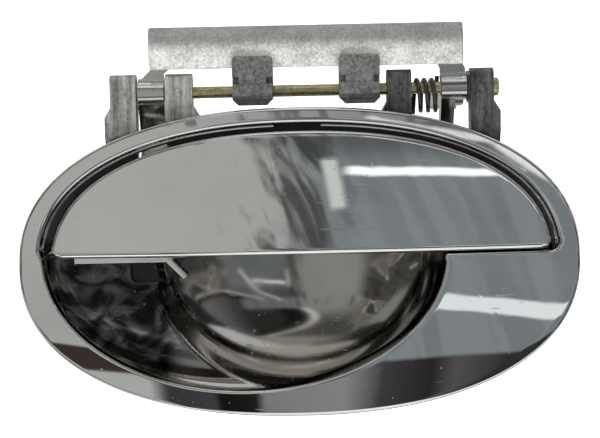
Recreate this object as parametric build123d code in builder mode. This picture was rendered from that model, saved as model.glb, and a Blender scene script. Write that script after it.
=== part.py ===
"""Exterior door handle of the oval flap kind: a chromed bezel and finger cup, a flap that swings out
on a hinge rod, its counterweight and return spring, and the crank that pulls the latch rod.

X runs along the handle, Y into the door and Z up, in millimetres. The origin is the middle of the
oval, on the plane where the bezel's back meets the door skin.
"""
from build123d import *
import os
from math import cos, pi, sin

os.makedirs("parts", exist_ok=True)

# ---- oval and crown, shared by the bezel and the flap
SQUARENESS = 2.27                       # exponent of the superellipse: 2 is an ellipse
BEZEL_X, BEZEL_Z = 95.0, 52.5           # half width and half height
CROWN = 9.5                             # how far the middle stands off the door
CROWN_RADIUS_X, CROWN_RADIUS_Z = 752.0, 229.0
LIP_Z = 3.0                             # underside of the flap's grip edge
CORNER_R = 4.0                          # of the flap and its opening, at the lip
GAP = 0.1                               # between pieces that are fitted but don't turn
FIT = 0.05                              # radial play of screws and of everything that turns
CUT_Y = 2.0                             # cuts through the bezel start this far inside the door

# ---- bezel and its gasket
OPENING_X, OPENING_Z = 86.5, 45.6       # the flap's opening, at the bezel's back
BEVEL, BEVEL_DEPTH = 4.6, 12.0          # the opening widens outward by BEVEL over BEVEL_DEPTH
LEDGE_Z = LIP_Z - 0.5                   # straight ledge under the flap
BEZEL_SKIN, BEZEL_EDGE_R = 2.6, 1.8
RIM_WALL, TUNNEL_WALL = 3.0, 1.8        # seat on the door skin, and wall round the flap's opening
GASKET, GASKET_INSET = 1.0, 0.4         # the gasket's back is on Y = 0

# ---- finger cup
CUP_X, CUP_HALF_X, CUP_DROP = -18.7, 68.0, 46.2      # lower opening: half an ellipse below LIP_Z
BOWL_X, BOWL_HALF_X = -1.7, 51.0
BOWL_RISE, BOWL_DEPTH, SHELF_DEPTH = 13.0, 27.0, 9.0
CUP_FRONT_Y = -3.0
CUP_WALL = 2.0
CUP_TOP_Z, CUP_TOP_Y = 0.8, 1.5         # above this height the cup stays behind the flap
FLANGE_Y, FLANGE_THICK, FLANGE_INSET = 3.0, 2.5, 4.5
SLOT_LEFT, SLOT_RIGHT = -58.0, -33.0    # slot for the guide leg's finger
SLOT_LOW, SLOT_TOP = -6.6, 6.0
SLOT_DEPTH, SLOT_R = 9.5, 2.0

# ---- flap and its guide leg
PADDLE_X, PADDLE_Z, PADDLE_SHIFT = 84.6, 44.6, 0.6
PADDLE_SKIN, LIP_THICK, PADDLE_LIP_Y = 3.0, 2.6, -2.0
PAD_Y, PAD_Z = (-1.5, 1.2), (26.6, 33.0)             # where the hinge arms meet the flap
PAD_LEFT, PAD_RIGHT, PAD_R = (-59.4, -39.3), (43.8, 63.2), 1.5
LEG_Y, LEG_FINGER_Y = (-2.0, 0.2), 6.5
LEG_OUTLINE = ((-76.5, 1.0), (-45.0, 1.0), (-43.0, 2.9), (-43.0, 12.0), (-76.5, 12.0))
LEG_FINGER = ((-45.5, 1.0), (-39.5, -5.0), (-38.0, -3.6), (-43.0, 1.6), (-43.0, 5.0), (-45.5, 5.0))

# ---- hinge rod and its ring
ROD_Y, ROD_Z, ROD_R = 6.0, 58.0, 2.0
ROD_LEFT, ROD_RIGHT = -61.5, 67.1
HEAD_R, HEAD_THICK, HEAD_ROUND = 3.1, 1.8, 0.7
RING_X, RING_THICK, RING_R = -60.4, 0.7, 3.3
GROOVE_DEPTH, GROOVE_PLAY = 0.5, 0.1

# ---- hinge brackets: each ear is (start, end, flared start, flared end) along X
EARS_LEFT = ((-63.2, -54.4, -65.2, -54.4), (-44.4, -35.3, -44.4, -33.3))
EARS_RIGHT = ((30.8, 39.1, 28.8, 39.1), (59.1, 67.0, 59.1, 69.2))
EAR_FRONT = 2.2                         # behind the door skin, which lies on the gasket
EAR_R, EAR_WALL = 6.5, 2.0
EAR_FLARE_Z, EAR_FLARE_SLOPE = 53.5, 3.5             # below this each ear widens on one side, down a slope
EAR_NECK_Z = (38.0, 44.0)               # the front slopes back to the foot between these
EAR_POCKET_Z = (32.0, 61.5)
EAR_BACK_Z = 42.0                       # below this the back slopes in to the foot
FOOT_Z, FOOT_TOP, FOOT_THICK = 18.6, 25.6, 3.0
WINDOW_Z = 26.0                         # the flange is open above this, where the brackets pass
WINDOWS_X = ((-66.2, -32.3), (27.8, 70.2))

# ---- hinge arms
BARREL_R, BUSH_R = 4.2, 3.0
BARREL_LEFT, BARREL_RIGHT = (-53.8, -44.9), (49.3, 57.9)
WEB_RIGHT = (49.3, 53.9)
GOOSENECK = ((3.2, 55.5), (9.0, 48.0), (11.9, 44.0), (11.9, 38.5), (9.5, 37.0), (1.2, 33.0), (-1.5, 33.0),
             (-1.5, 27.4), (1.2, 27.4), (12.0, 31.2), (17.5, 36.5), (17.5, 48.0), (13.0, 55.0), (9.9, 58.0),
             (6.0, 58.0))
LUG_Y, LUG_ROOT = (8.4, 11.4), 5.0
LUG_LEFT = ((-53.8, 56.0), (-45.2, 56.0), (-45.2, 64.6), (-41.5, 68.0), (-41.5, 76.0), (-49.2, 76.0),
            (-49.2, 66.5), (-53.8, 62.0))
LUG_RIGHT = ((49.3, 56.0), (57.9, 56.0), (57.9, 64.6), (55.9, 68.0), (55.9, 76.0), (47.6, 76.0),
             (47.6, 68.0), (49.3, 64.6))
WASHER_PLAY, WASHER_THICK = 0.3, 0.7

# ---- return spring
SPRING_X, SPRING_R, WIRE_R = 40.45, 5.25, 0.74
SPRING_PITCH, SPRING_TURNS, SPRING_LEG = 2.5, 3, 6.5

# ---- counterweight
BAR_X, BAR_Y, BAR_Z = (-49.7, 56.7), (0.0, 8.4), (66.0, 80.2)
BAR_R, BAR_CHAMFER = 1.5, 0.8
HOOKS_X = ((-21.5, -7.8), (14.6, 28.3))
HOOK_Y, HOOK_Z, HOOK_REAR_Z = (-2.0, 10.6), (53.4, 70.0), 74.5
HOOK_R, HOOK_CHAMFER, HOOK_ROOT = 1.4, 2.0, 2.0
HOOK_NOTCH = (4.4, 3.0)                 # width across the side face, and height
HOOK_NOTCH_Z, HOOK_NOTCH_DEPTH = 61.5, 3.0

# ---- latch crank, level with the hinge rod
CRANK_Y, CRANK_X, CRANK_R = 30.0, (54.4, 57.6), 5.5
FINGER_REACH, FINGER_R = 12.0, 2.5      # the right arm's finger that pushes the crank
CRANK_OUTLINE = ((13.0, 55.0), (23.0, 55.0), (27.0, 62.3), (33.0, 61.5), (46.0, 57.6), (44.0, 50.0),
                 (33.0, 53.4), (28.0, 53.0), (22.0, 51.5), (13.0, 52.5))
LUG_X, PIN_X = (60.2, 63.2), (52.6, 64.2)            # the bracket's lug and the pin through it
PIN_R, PIN_HEAD_R, PIN_PLAY = 2.5, 3.8, 0.3
PIN_RING_X, PIN_RING_R, PIN_GROOVE = 53.3, 4.4, 0.6

# ---- latch rod's clip
LINK_Y, LINK_Z, LINK_R, LINK_BOSS_R = 44.0, 54.0, 2.0, 4.2
CLIP_X, CLIP_SIZE, CLIP_EDGE_R = (48.2, 54.0), 8.0, 1.5
CLIP_BARB, CLIP_BARB_GAP, CLIP_BARB_R = 0.9, 0.4, 3.0
LATCH_ROD_R = 1.55

# ---- fasteners and stops
SCREW_R, SCREW_DEPTH, BOSS_R = 1.25, 4.2, 2.3
SCREW_HEAD, TIP_GAP = (2.4, 1.7), 0.3   # head radius and height, and space beyond the tip
BEZEL_SCREWS = ((-76.5, 28.6), (76.5, 28.6), (-67.0, -34.4), (66.0, -26.0))
BRACKET_SCREW_R, BRACKET_SCREW_HEAD = 1.9, (3.2, 2.0)
BRACKET_SCREWS = ((-60.5, 22.0), (-38.5, 22.0), (34.0, 22.0), (64.5, 22.0))
ARM_SCREWS = ((-57.1, 29.8), (-41.5, 29.8), (46.2, 29.8), (60.4, 29.8))
LUG_SCREWS = ((-45.3, 72.0), (51.8, 72.0))
HOOK_SCREWS = ((-14.65, 70.6), (21.45, 70.6))
ARM_SCREW_DEPTH, BAR_SCREW_DEPTH = 2.3, 5.5
STUD_X, STUD_Z, STUD_R, STUD_END = (-76.0, 70.0), -8.0, 3.0, 26.0
STUD_BASE, STUD_SEAT, STUD_BASE_R, STUD_BOSS_R = 12.0, 6.0, 4.0, 6.0
STUD_CHAMFER = 0.6
STOPS = ((-70.0, 21.0), (74.0, 17.0))
STOP_R, STOP_Y, STOP_ROUND = 3.0, -1.85, 0.8


def at_depth(y):
    """The plane facing out of the door at depth y, with X to the right and Z up."""
    return Plane.XZ.offset(-y)


def at_x(x):
    """The plane facing +X at x, with Y and Z as its own axes."""
    return Plane.YZ.offset(x)


def oval_points(half_x, half_z, count=48):
    """Points round a superellipse centred on the origin."""
    points = []
    for step in range(count):
        c, s = cos(2 * pi * step / count), sin(2 * pi * step / count)
        x = half_x * abs(c) ** (2 / SQUARENESS) * (1 if c >= 0 else -1)
        z = half_z * abs(s) ** (2 / SQUARENESS) * (1 if s >= 0 else -1)
        points.append((x, z))
    return points


def oval_face(half_x, half_z):
    """A flat oval on the XZ plane, as a sketch to place on any plane that faces along Y."""
    with BuildSketch() as oval:
        with BuildLine():
            Spline(*oval_points(half_x, half_z), periodic=True)
        make_face()
    return oval.sketch


def behind_crown(depth):
    """Everything behind the crowned front surface moved depth mm into the door."""
    radius_x = CROWN_RADIUS_X - depth
    reach, back = 110.0, 60.0
    drop = radius_x - (radius_x ** 2 - reach ** 2) ** 0.5
    front = depth - CROWN
    with BuildPart() as body:
        with BuildSketch(Plane.XY):
            with BuildLine():
                ThreePointArc((-reach, front + drop), (0, front), (reach, front + drop))
                Polyline((reach, front + drop), (reach, back), (-reach, back), (-reach, front + drop))
            make_face()
        revolve(axis=Axis((0, CROWN_RADIUS_Z - CROWN, 0), (1, 0, 0)))
    return body.part


def crown_y(x, z, depth=0.0):
    """Depth of the crowned surface at x, z."""
    return depth - CROWN + x * x / (2 * CROWN_RADIUS_X) + z * z / (2 * CROWN_RADIUS_Z)


def half_bowl(centre_x, half_x, height, depth, keep):
    """Half of an ellipsoid on LIP_Z, below or above it."""
    with BuildPart() as half:
        Sphere(1)
        scale(by=(half_x, depth, height))
        split(bisect_by=Plane.XY, keep=keep)
        split(bisect_by=Plane.XZ, keep=Keep.BOTTOM)
    return half.part.moved(Location((centre_x, CUP_FRONT_Y, LIP_Z)))


def bowl(centre_x, half_x, drop, rise, depth):
    """The bowl's space: a deep lower half and a low upper half behind the flap."""
    with BuildPart() as space:
        add(half_bowl(centre_x, half_x, drop, depth, Keep.BOTTOM))
        add(half_bowl(centre_x, half_x, rise, depth, Keep.TOP))
    return space.part


def rear_screws(y, places, length, shank_r=SCREW_R, head=SCREW_HEAD):
    """Pan head screws put in from behind: heads on the plane at depth y, shanks running outward."""
    with BuildPart() as screws:
        with BuildSketch(at_depth(y + head[1])):
            with Locations(*places):
                Circle(head[0])
        extrude(amount=head[1])
        fillet(screws.edges().group_by(Axis.Y)[-1], head[1] * 0.4)
        with BuildSketch(at_depth(y)):
            with Locations(*places):
                Circle(shank_r)
        extrude(amount=length)
    return screws


def finish(piece, name):
    """Label a finished piece and write it."""
    piece.part.label = name
    export_step(piece.part, f"parts/{name}.step")


crown_front = behind_crown(0)
bezel_back = behind_crown(BEZEL_SKIN)
paddle_back = behind_crown(PADDLE_SKIN)
cup_front_limit = behind_crown(BEZEL_SKIN + GAP)
bezel_oval = oval_face(BEZEL_X, BEZEL_Z)
seat_oval = oval_face(BEZEL_X - GASKET_INSET, BEZEL_Z - GASKET_INSET)
hollow_oval = oval_face(BEZEL_X - RIM_WALL, BEZEL_Z - RIM_WALL)
tunnel_wall_oval = oval_face(OPENING_X + TUNNEL_WALL, OPENING_Z + TUNNEL_WALL)
tunnel_back_oval = oval_face(OPENING_X, OPENING_Z)
tunnel_front_oval = oval_face(OPENING_X + BEVEL, OPENING_Z + BEVEL)
flange_oval = oval_face(BEZEL_X - FLANGE_INSET, BEZEL_Z - FLANGE_INSET)
paddle_oval = oval_face(PADDLE_X, PADDLE_Z)

# ---- bezel: the crowned oval trim, hollow behind, with the two openings joined into one
with BuildPart() as flap_opening:
    with BuildSketch(at_depth(0.0)):
        add(tunnel_back_oval)
    with BuildSketch(at_depth(-BEVEL_DEPTH)):
        add(tunnel_front_oval)
    loft()
    with BuildSketch(at_depth(CUT_Y)):
        add(tunnel_back_oval)
    extrude(amount=CUT_Y)
    split(bisect_by=Plane.XY.offset(LEDGE_Z), keep=Keep.TOP)
    ledge_edges = flap_opening.edges().filter_by_position(Axis.Z, LEDGE_Z - GAP, LEDGE_Z + GAP)
    fillet([e for e in ledge_edges if abs(e.tangent_at(0.5).Y) > 0.8 and e.center().X > 0], CORNER_R)

with BuildPart() as cup_opening:
    with BuildSketch(at_depth(CUT_Y)):
        with Locations((CUP_X, LIP_Z)):
            Ellipse(CUP_HALF_X, CUP_DROP)
    extrude(amount=CROWN + 2 * CUT_Y)
    split(bisect_by=Plane.XY.offset(LIP_Z), keep=Keep.BOTTOM)

with BuildPart() as bezel_hollow:
    with BuildSketch(at_depth(CUT_Y)):
        add(hollow_oval)
    extrude(amount=CROWN)
    add(bezel_back, mode=Mode.INTERSECT)
    with BuildSketch(at_depth(CUT_Y)):
        add(tunnel_wall_oval)
        with Locations((0, CUP_TOP_Z + GAP - BEZEL_Z)):
            Rectangle(3 * BEZEL_X, 2 * BEZEL_Z, mode=Mode.SUBTRACT)
    extrude(amount=CROWN + 2 * CUT_Y, mode=Mode.SUBTRACT)

with BuildPart() as bezel:
    with BuildSketch(at_depth(-GASKET)):
        add(bezel_oval)
    extrude(amount=CROWN + 1)
    add(crown_front, mode=Mode.INTERSECT)
    fillet(bezel.edges().group_by(Axis.Y)[0], BEZEL_EDGE_R)
    add(bezel_hollow.part, mode=Mode.SUBTRACT)
    for x, z in BEZEL_SCREWS:
        with BuildSketch(at_depth(FLANGE_Y)):
            with Locations((x, z)):
                Circle(BOSS_R)
        extrude(amount=FLANGE_Y - crown_y(x, z, BEZEL_SKIN / 2))
    with BuildSketch(at_depth(FLANGE_Y)):
        with Locations(*BEZEL_SCREWS):
            Circle(SCREW_R + FIT)
    extrude(amount=SCREW_DEPTH, mode=Mode.SUBTRACT)
    with BuildSketch(at_depth(FLANGE_Y)):
        add(bezel_oval)
        add(hollow_oval, mode=Mode.SUBTRACT)
    extrude(amount=FLANGE_Y + GASKET, mode=Mode.SUBTRACT)
    add(flap_opening.part, mode=Mode.SUBTRACT)
    add(cup_opening.part, mode=Mode.SUBTRACT)
finish(bezel, "bezel")

# ---- gasket between the bezel's rim and the door skin
with BuildPart() as door_gasket:
    with BuildSketch(at_depth(0)):
        add(seat_oval)
        add(hollow_oval, mode=Mode.SUBTRACT)
    extrude(amount=GASKET)
finish(door_gasket, "door_gasket")

# ---- finger cup: a deep bowl and a shallow shelf in one moulding, on a flange behind the bezel
bowl_space = bowl(BOWL_X, BOWL_HALF_X, CUP_DROP, BOWL_RISE, BOWL_DEPTH)
shelf_space = bowl(CUP_X, CUP_HALF_X, CUP_DROP, BOWL_RISE, SHELF_DEPTH)
bowl_skin = bowl(BOWL_X, BOWL_HALF_X + CUP_WALL, CUP_DROP + CUP_WALL, BOWL_RISE + CUP_WALL,
                 BOWL_DEPTH + CUP_WALL)
shelf_skin = bowl(CUP_X, CUP_HALF_X + CUP_WALL, CUP_DROP + CUP_WALL, BOWL_RISE + CUP_WALL,
                  SHELF_DEPTH + CUP_WALL)
with BuildPart() as finger_cup:
    with BuildSketch(at_depth(FLANGE_Y + FLANGE_THICK)):
        add(flange_oval)
        for x0, x1 in WINDOWS_X:
            with Locations(((x0 + x1) / 2, WINDOW_Z + BEZEL_Z)):
                Rectangle(x1 - x0, 2 * BEZEL_Z, mode=Mode.SUBTRACT)
        with Locations(*BEZEL_SCREWS):
            Circle(SCREW_R + FIT, mode=Mode.SUBTRACT)
        with Locations(*BRACKET_SCREWS):
            Circle(BRACKET_SCREW_R + FIT, mode=Mode.SUBTRACT)
    extrude(amount=FLANGE_THICK)
    add(bowl_skin)
    add(shelf_skin)
    with BuildSketch(at_depth(CUP_FRONT_Y)):
        with Locations((CUP_X, LIP_Z)):
            Ellipse(CUP_HALF_X + CUP_WALL, CUP_DROP + CUP_WALL)
        with Locations((BOWL_X, LIP_Z)):
            Ellipse(BOWL_HALF_X + CUP_WALL, CUP_DROP + CUP_WALL)
        with Locations((0, CUP_TOP_Z + BEZEL_Z)):
            Rectangle(3 * BEZEL_X, 2 * BEZEL_Z, mode=Mode.SUBTRACT)
    extrude(amount=CROWN)
    with BuildSketch(at_depth(STUD_BASE)):
        with Locations(*[(x, STUD_Z) for x in STUD_X]):
            Circle(STUD_BOSS_R)
    extrude(amount=STUD_BASE - FLANGE_Y)
    with BuildSketch(at_depth(SLOT_DEPTH + CUP_WALL)):
        with Locations(((SLOT_LEFT + SLOT_RIGHT) / 2, (SLOT_LOW + SLOT_TOP) / 2)):
            RectangleRounded(SLOT_RIGHT - SLOT_LEFT + 2 * CUP_WALL, SLOT_TOP - SLOT_LOW + 2 * CUP_WALL,
                             SLOT_R + CUP_WALL / 2)
    extrude(amount=SLOT_DEPTH + CUP_WALL - FLANGE_Y)
    add(cup_front_limit, mode=Mode.INTERSECT)
    with BuildSketch(at_depth(CUP_TOP_Y)):
        with Locations((0, CUP_TOP_Z + BEZEL_Z)):
            Rectangle(3 * BEZEL_X, 2 * BEZEL_Z)
    extrude(amount=2 * CROWN, mode=Mode.SUBTRACT)
    add(bowl_space, mode=Mode.SUBTRACT)
    add(shelf_space, mode=Mode.SUBTRACT)
    with BuildSketch(at_depth(CUP_FRONT_Y)):
        with Locations((CUP_X, LIP_Z)):
            Ellipse(CUP_HALF_X, CUP_DROP)
        with Locations((BOWL_X, LIP_Z)):
            Ellipse(BOWL_HALF_X, CUP_DROP)
    extrude(amount=2 * CROWN, mode=Mode.SUBTRACT)
    with BuildSketch(at_depth(SLOT_DEPTH)):
        with Locations(((SLOT_LEFT + SLOT_RIGHT) / 2, (SLOT_LOW + SLOT_TOP) / 2)):
            RectangleRounded(SLOT_RIGHT - SLOT_LEFT, SLOT_TOP - SLOT_LOW, SLOT_R)
    extrude(amount=3 * CROWN, mode=Mode.SUBTRACT)
    with BuildSketch(at_depth(STUD_BASE)):
        with Locations(*[(x, STUD_Z) for x in STUD_X]):
            Circle(STUD_BASE_R + FIT)
    extrude(amount=STUD_SEAT, mode=Mode.SUBTRACT)
finish(finger_cup, "finger_cup")

bezel_screws = rear_screws(FLANGE_Y + FLANGE_THICK, BEZEL_SCREWS, FLANGE_THICK + SCREW_DEPTH - 2 * TIP_GAP)
finish(bezel_screws, "bezel_screws")

# ---- studs that take the nuts inside the door
with BuildPart() as mounting_studs:
    with BuildSketch(at_depth(STUD_BASE)):
        with Locations(*[(x, STUD_Z) for x in STUD_X]):
            Circle(STUD_BASE_R)
    extrude(amount=STUD_SEAT)
    with BuildSketch(at_depth(STUD_END)):
        with Locations(*[(x, STUD_Z) for x in STUD_X]):
            Circle(STUD_R)
    extrude(amount=STUD_END - STUD_BASE)
    chamfer(mounting_studs.edges().group_by(Axis.Y)[-1], STUD_CHAMFER)
finish(mounting_studs, "mounting_studs")

# ---- rubber stops that the closed flap rests against
with BuildPart() as bump_stops:
    with BuildSketch(at_depth(FLANGE_Y)):
        with Locations(*STOPS):
            Circle(STOP_R)
    extrude(amount=FLANGE_Y - STOP_Y)
    fillet(bump_stops.edges().group_by(Axis.Y)[0], STOP_ROUND)
finish(bump_stops, "bump_stops")

# ---- hinge brackets: hollow ears that hold the rod, on a foot behind the cup's flange
def hinge_bracket(ears, rod_from, crank_lug=None):
    """One die-cast bracket: a foot, a hollow ear at each end of it, and on one a lug for the crank."""
    foot_x0, foot_x1 = ears[0][2], ears[1][3]
    back_y = ROD_Y + EAR_R
    top_z = ROD_Z + (EAR_R ** 2 - (ROD_Y - EAR_FRONT) ** 2) ** 0.5
    foot_y = FLANGE_Y + FLANGE_THICK
    with BuildPart() as bracket:
        for x0, x1, flare_x0, flare_x1 in ears:
            for start, end, cut_z in ((x0, x1, None), (flare_x0, flare_x1, EAR_FLARE_Z)):
                with BuildSketch(at_x(start)):
                    with BuildLine():
                        Line((back_y, EAR_BACK_Z), (back_y, ROD_Z))
                        ThreePointArc((back_y, ROD_Z), (ROD_Y, ROD_Z + EAR_R), (EAR_FRONT, top_z))
                        Polyline((EAR_FRONT, top_z), (EAR_FRONT, EAR_NECK_Z[1]), (foot_y, EAR_NECK_Z[0]),
                                 (foot_y, FOOT_Z), (foot_y + FOOT_THICK, FOOT_Z),
                                 (foot_y + FOOT_THICK, FOOT_TOP), (back_y, EAR_BACK_Z))
                    make_face()
                    if cut_z:
                        with Locations((0, cut_z + ROD_Z)):
                            Rectangle(2 * ROD_Z, 2 * ROD_Z, mode=Mode.SUBTRACT)
                extrude(amount=end - start)
        for x0, x1, flare_x0, flare_x1 in ears:
            side, flare = (x0, flare_x0) if flare_x0 < x0 else (x1, flare_x1)
            with BuildSketch(at_depth(back_y)):
                with BuildLine():
                    Polyline((side, EAR_FLARE_Z), (flare, EAR_FLARE_Z), (flare, EAR_FLARE_Z - EAR_FLARE_SLOPE),
                             close=True)
                make_face()
            extrude(amount=back_y - EAR_FRONT, mode=Mode.SUBTRACT)
        with BuildSketch(at_depth(foot_y + FOOT_THICK)):
            with Locations(((foot_x0 + foot_x1) / 2, (FOOT_Z + FOOT_TOP) / 2)):
                Rectangle(foot_x1 - foot_x0, FOOT_TOP - FOOT_Z)
        extrude(amount=FOOT_THICK)
        for x0, x1, _, _ in ears:
            with BuildSketch(at_depth(back_y)):
                with Locations(((x0 + x1) / 2, sum(EAR_POCKET_Z) / 2)):
                    Rectangle(x1 - x0 - 2 * EAR_WALL, EAR_POCKET_Z[1] - EAR_POCKET_Z[0])
            extrude(amount=back_y - (EAR_FRONT + EAR_WALL), mode=Mode.SUBTRACT)
        if crank_lug:
            with BuildSketch(at_x(crank_lug[0])):
                with Locations((CRANK_Y, ROD_Z)):
                    Circle(CRANK_R)
                with Locations(((back_y - EAR_WALL + CRANK_Y) / 2, ROD_Z)):
                    Rectangle(CRANK_Y - back_y + EAR_WALL, 2 * CRANK_R)
                with Locations((CRANK_Y, ROD_Z)):
                    Circle(PIN_R + FIT, mode=Mode.SUBTRACT)
            extrude(amount=crank_lug[1] - crank_lug[0])
        with BuildSketch(at_x(rod_from)):
            with Locations((ROD_Y, ROD_Z)):
                Circle(ROD_R + FIT)
        extrude(amount=ears[1][3] - rod_from, mode=Mode.SUBTRACT)
        with BuildSketch(at_depth(foot_y + FOOT_THICK)):
            with Locations(*[p for p in BRACKET_SCREWS if foot_x0 < p[0] < foot_x1]):
                Circle(BRACKET_SCREW_R + FIT)
        extrude(amount=FOOT_THICK, mode=Mode.SUBTRACT)
    return bracket


hinge_bracket_left = hinge_bracket(EARS_LEFT, ROD_LEFT - TIP_GAP)
finish(hinge_bracket_left, "hinge_bracket_left")
hinge_bracket_right = hinge_bracket(EARS_RIGHT, EARS_RIGHT[0][2], crank_lug=LUG_X)
finish(hinge_bracket_right, "hinge_bracket_right")

bracket_screws = rear_screws(FLANGE_Y + FLANGE_THICK + FOOT_THICK, BRACKET_SCREWS,
                             FOOT_THICK + FLANGE_THICK, BRACKET_SCREW_R, BRACKET_SCREW_HEAD)
finish(bracket_screws, "bracket_screws")

# ---- hinge rod, with a round head at the right and a retaining ring in a groove at the left
with BuildPart() as hinge_rod:
    with BuildSketch(at_x(ROD_LEFT)):
        with Locations((ROD_Y, ROD_Z)):
            Circle(ROD_R)
    extrude(amount=ROD_RIGHT - ROD_LEFT)
    with BuildSketch(at_x(ROD_RIGHT)):
        with Locations((ROD_Y, ROD_Z)):
            Circle(HEAD_R)
    extrude(amount=HEAD_THICK)
    fillet(hinge_rod.edges().group_by(Axis.X)[-1], HEAD_ROUND)
    with BuildSketch(at_x(RING_X)):
        with Locations((ROD_Y, ROD_Z)):
            Circle(HEAD_R)
            Circle(ROD_R - GROOVE_DEPTH, mode=Mode.SUBTRACT)
    extrude(amount=RING_THICK + GROOVE_PLAY, mode=Mode.SUBTRACT)
finish(hinge_rod, "hinge_rod")


def retaining_ring(x, y, z, inner_r, outer_r, thick):
    """A clip ring pushed into a groove from behind: open in front, where it holds by its two tips."""
    with BuildPart() as ring:
        with BuildSketch(at_x(x)):
            with Locations((y, z)):
                Circle(outer_r)
                Circle(inner_r, mode=Mode.SUBTRACT)
            with Locations((y - inner_r - outer_r, z)):
                Rectangle(2 * outer_r, 2 * outer_r, mode=Mode.SUBTRACT)
            with Locations((y - outer_r, z)):
                Rectangle(2 * outer_r, 1.6 * inner_r, mode=Mode.SUBTRACT)
        extrude(amount=thick)
    return ring


rod_retaining_ring = retaining_ring(RING_X + GROOVE_PLAY / 2, ROD_Y, ROD_Z, ROD_R - GROOVE_DEPTH + FIT,
                                    RING_R, RING_THICK)
finish(rod_retaining_ring, "rod_retaining_ring")

with BuildPart() as thrust_washer:
    with BuildSketch(at_x(BARREL_RIGHT[1] + WASHER_PLAY)):
        with Locations((ROD_Y, ROD_Z)):
            Circle(BARREL_R)
            Circle(ROD_R + FIT, mode=Mode.SUBTRACT)
    extrude(amount=WASHER_THICK)
finish(thrust_washer, "thrust_washer")

# ---- return spring: coils hang on the rod, one leg down to the bracket and one up to the arm
with BuildPart() as torsion_spring:
    with BuildLine():
        coil = Helix(SPRING_PITCH, SPRING_TURNS * SPRING_PITCH, SPRING_R)
        Line(coil @ 0 - (coil % 0) * SPRING_LEG, coil @ 0)
        Line(coil @ 1, coil @ 1 + (coil % 1) * SPRING_LEG)
    with BuildSketch(Plane(coil @ 0 - (coil % 0) * SPRING_LEG, z_dir=coil % 0)):
        Circle(WIRE_R)
    sweep()
spring_place = Plane((SPRING_X, ROD_Y, ROD_Z + ROD_R + FIT + WIRE_R - SPRING_R),
                     x_dir=(0, 1, 0), z_dir=(1, 0, 0))
torsion_spring.part = torsion_spring.part.moved(spring_place.location)
finish(torsion_spring, "torsion_spring")

# ---- crank pin in the right bracket's lug, and its ring
with BuildPart() as crank_pin:
    for x0, x1, radius in ((PIN_X[0], LUG_X[1], PIN_R), (CRANK_X[1] + PIN_PLAY, LUG_X[0], PIN_HEAD_R),
                           (LUG_X[1], PIN_X[1], PIN_HEAD_R)):
        with BuildSketch(at_x(x0)):
            with Locations((CRANK_Y, ROD_Z)):
                Circle(radius)
        extrude(amount=x1 - x0)
    with BuildSketch(at_x(PIN_RING_X)):
        with Locations((CRANK_Y, ROD_Z)):
            Circle(PIN_HEAD_R)
            Circle(PIN_R - PIN_GROOVE, mode=Mode.SUBTRACT)
    extrude(amount=RING_THICK + GROOVE_PLAY, mode=Mode.SUBTRACT)
finish(crank_pin, "crank_pin")

crank_retaining_ring = retaining_ring(PIN_RING_X + GROOVE_PLAY / 2, CRANK_Y, ROD_Z,
                                      PIN_R - PIN_GROOVE + FIT, PIN_RING_R, RING_THICK)
finish(crank_retaining_ring, "crank_retaining_ring")

# ---- flap: a crowned skin with a grip edge below and two pads behind for the hinge arms
with BuildPart() as paddle_hollow:
    with BuildSketch(at_depth(CROWN)):
        with Locations((0, LIP_Z + LIP_THICK + BEZEL_Z)):
            Rectangle(3 * BEZEL_X, 2 * BEZEL_Z)
    extrude(amount=2 * CROWN)
    add(paddle_back, mode=Mode.INTERSECT)

with BuildSketch() as paddle_outline:
    with Locations((PADDLE_SHIFT, 0)):
        add(paddle_oval)
    with Locations((0, LIP_Z - BEZEL_Z)):
        Rectangle(3 * BEZEL_X, 2 * BEZEL_Z, mode=Mode.SUBTRACT)
    fillet(paddle_outline.vertices(), CORNER_R)

with BuildPart() as paddle:
    with BuildSketch(at_depth(PADDLE_LIP_Y)):
        add(paddle_outline.sketch)
    extrude(amount=PADDLE_LIP_Y + CROWN + 1)
    add(crown_front, mode=Mode.INTERSECT)
    add(paddle_hollow.part, mode=Mode.SUBTRACT)
    for x0, x1 in (PAD_LEFT, PAD_RIGHT):
        with BuildSketch(at_depth(PAD_Y[0])):
            with Locations(((x0 + x1) / 2, (PAD_Z[0] + PAD_Z[1]) / 2)):
                RectangleRounded(x1 - x0, PAD_Z[1] - PAD_Z[0], PAD_R)
        extrude(amount=PADDLE_SKIN)
    with BuildSketch(at_depth(PAD_Y[0])):
        with Locations(*ARM_SCREWS):
            Circle(SCREW_R + FIT)
    extrude(amount=ARM_SCREW_DEPTH, mode=Mode.SUBTRACT)
finish(paddle, "paddle")

# ---- guide leg behind the flap's left end, with a finger that drops into the cup's slot
with BuildPart() as guide_leg:
    with BuildSketch(at_depth(LEG_Y[1])):
        Polygon(*LEG_OUTLINE, align=None)
    extrude(amount=LEG_Y[1] - LEG_Y[0])
    with BuildSketch(at_depth(LEG_FINGER_Y)):
        Polygon(*LEG_FINGER, align=None)
    extrude(amount=LEG_FINGER_Y - LEG_Y[0])
finish(guide_leg, "guide_leg")


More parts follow.
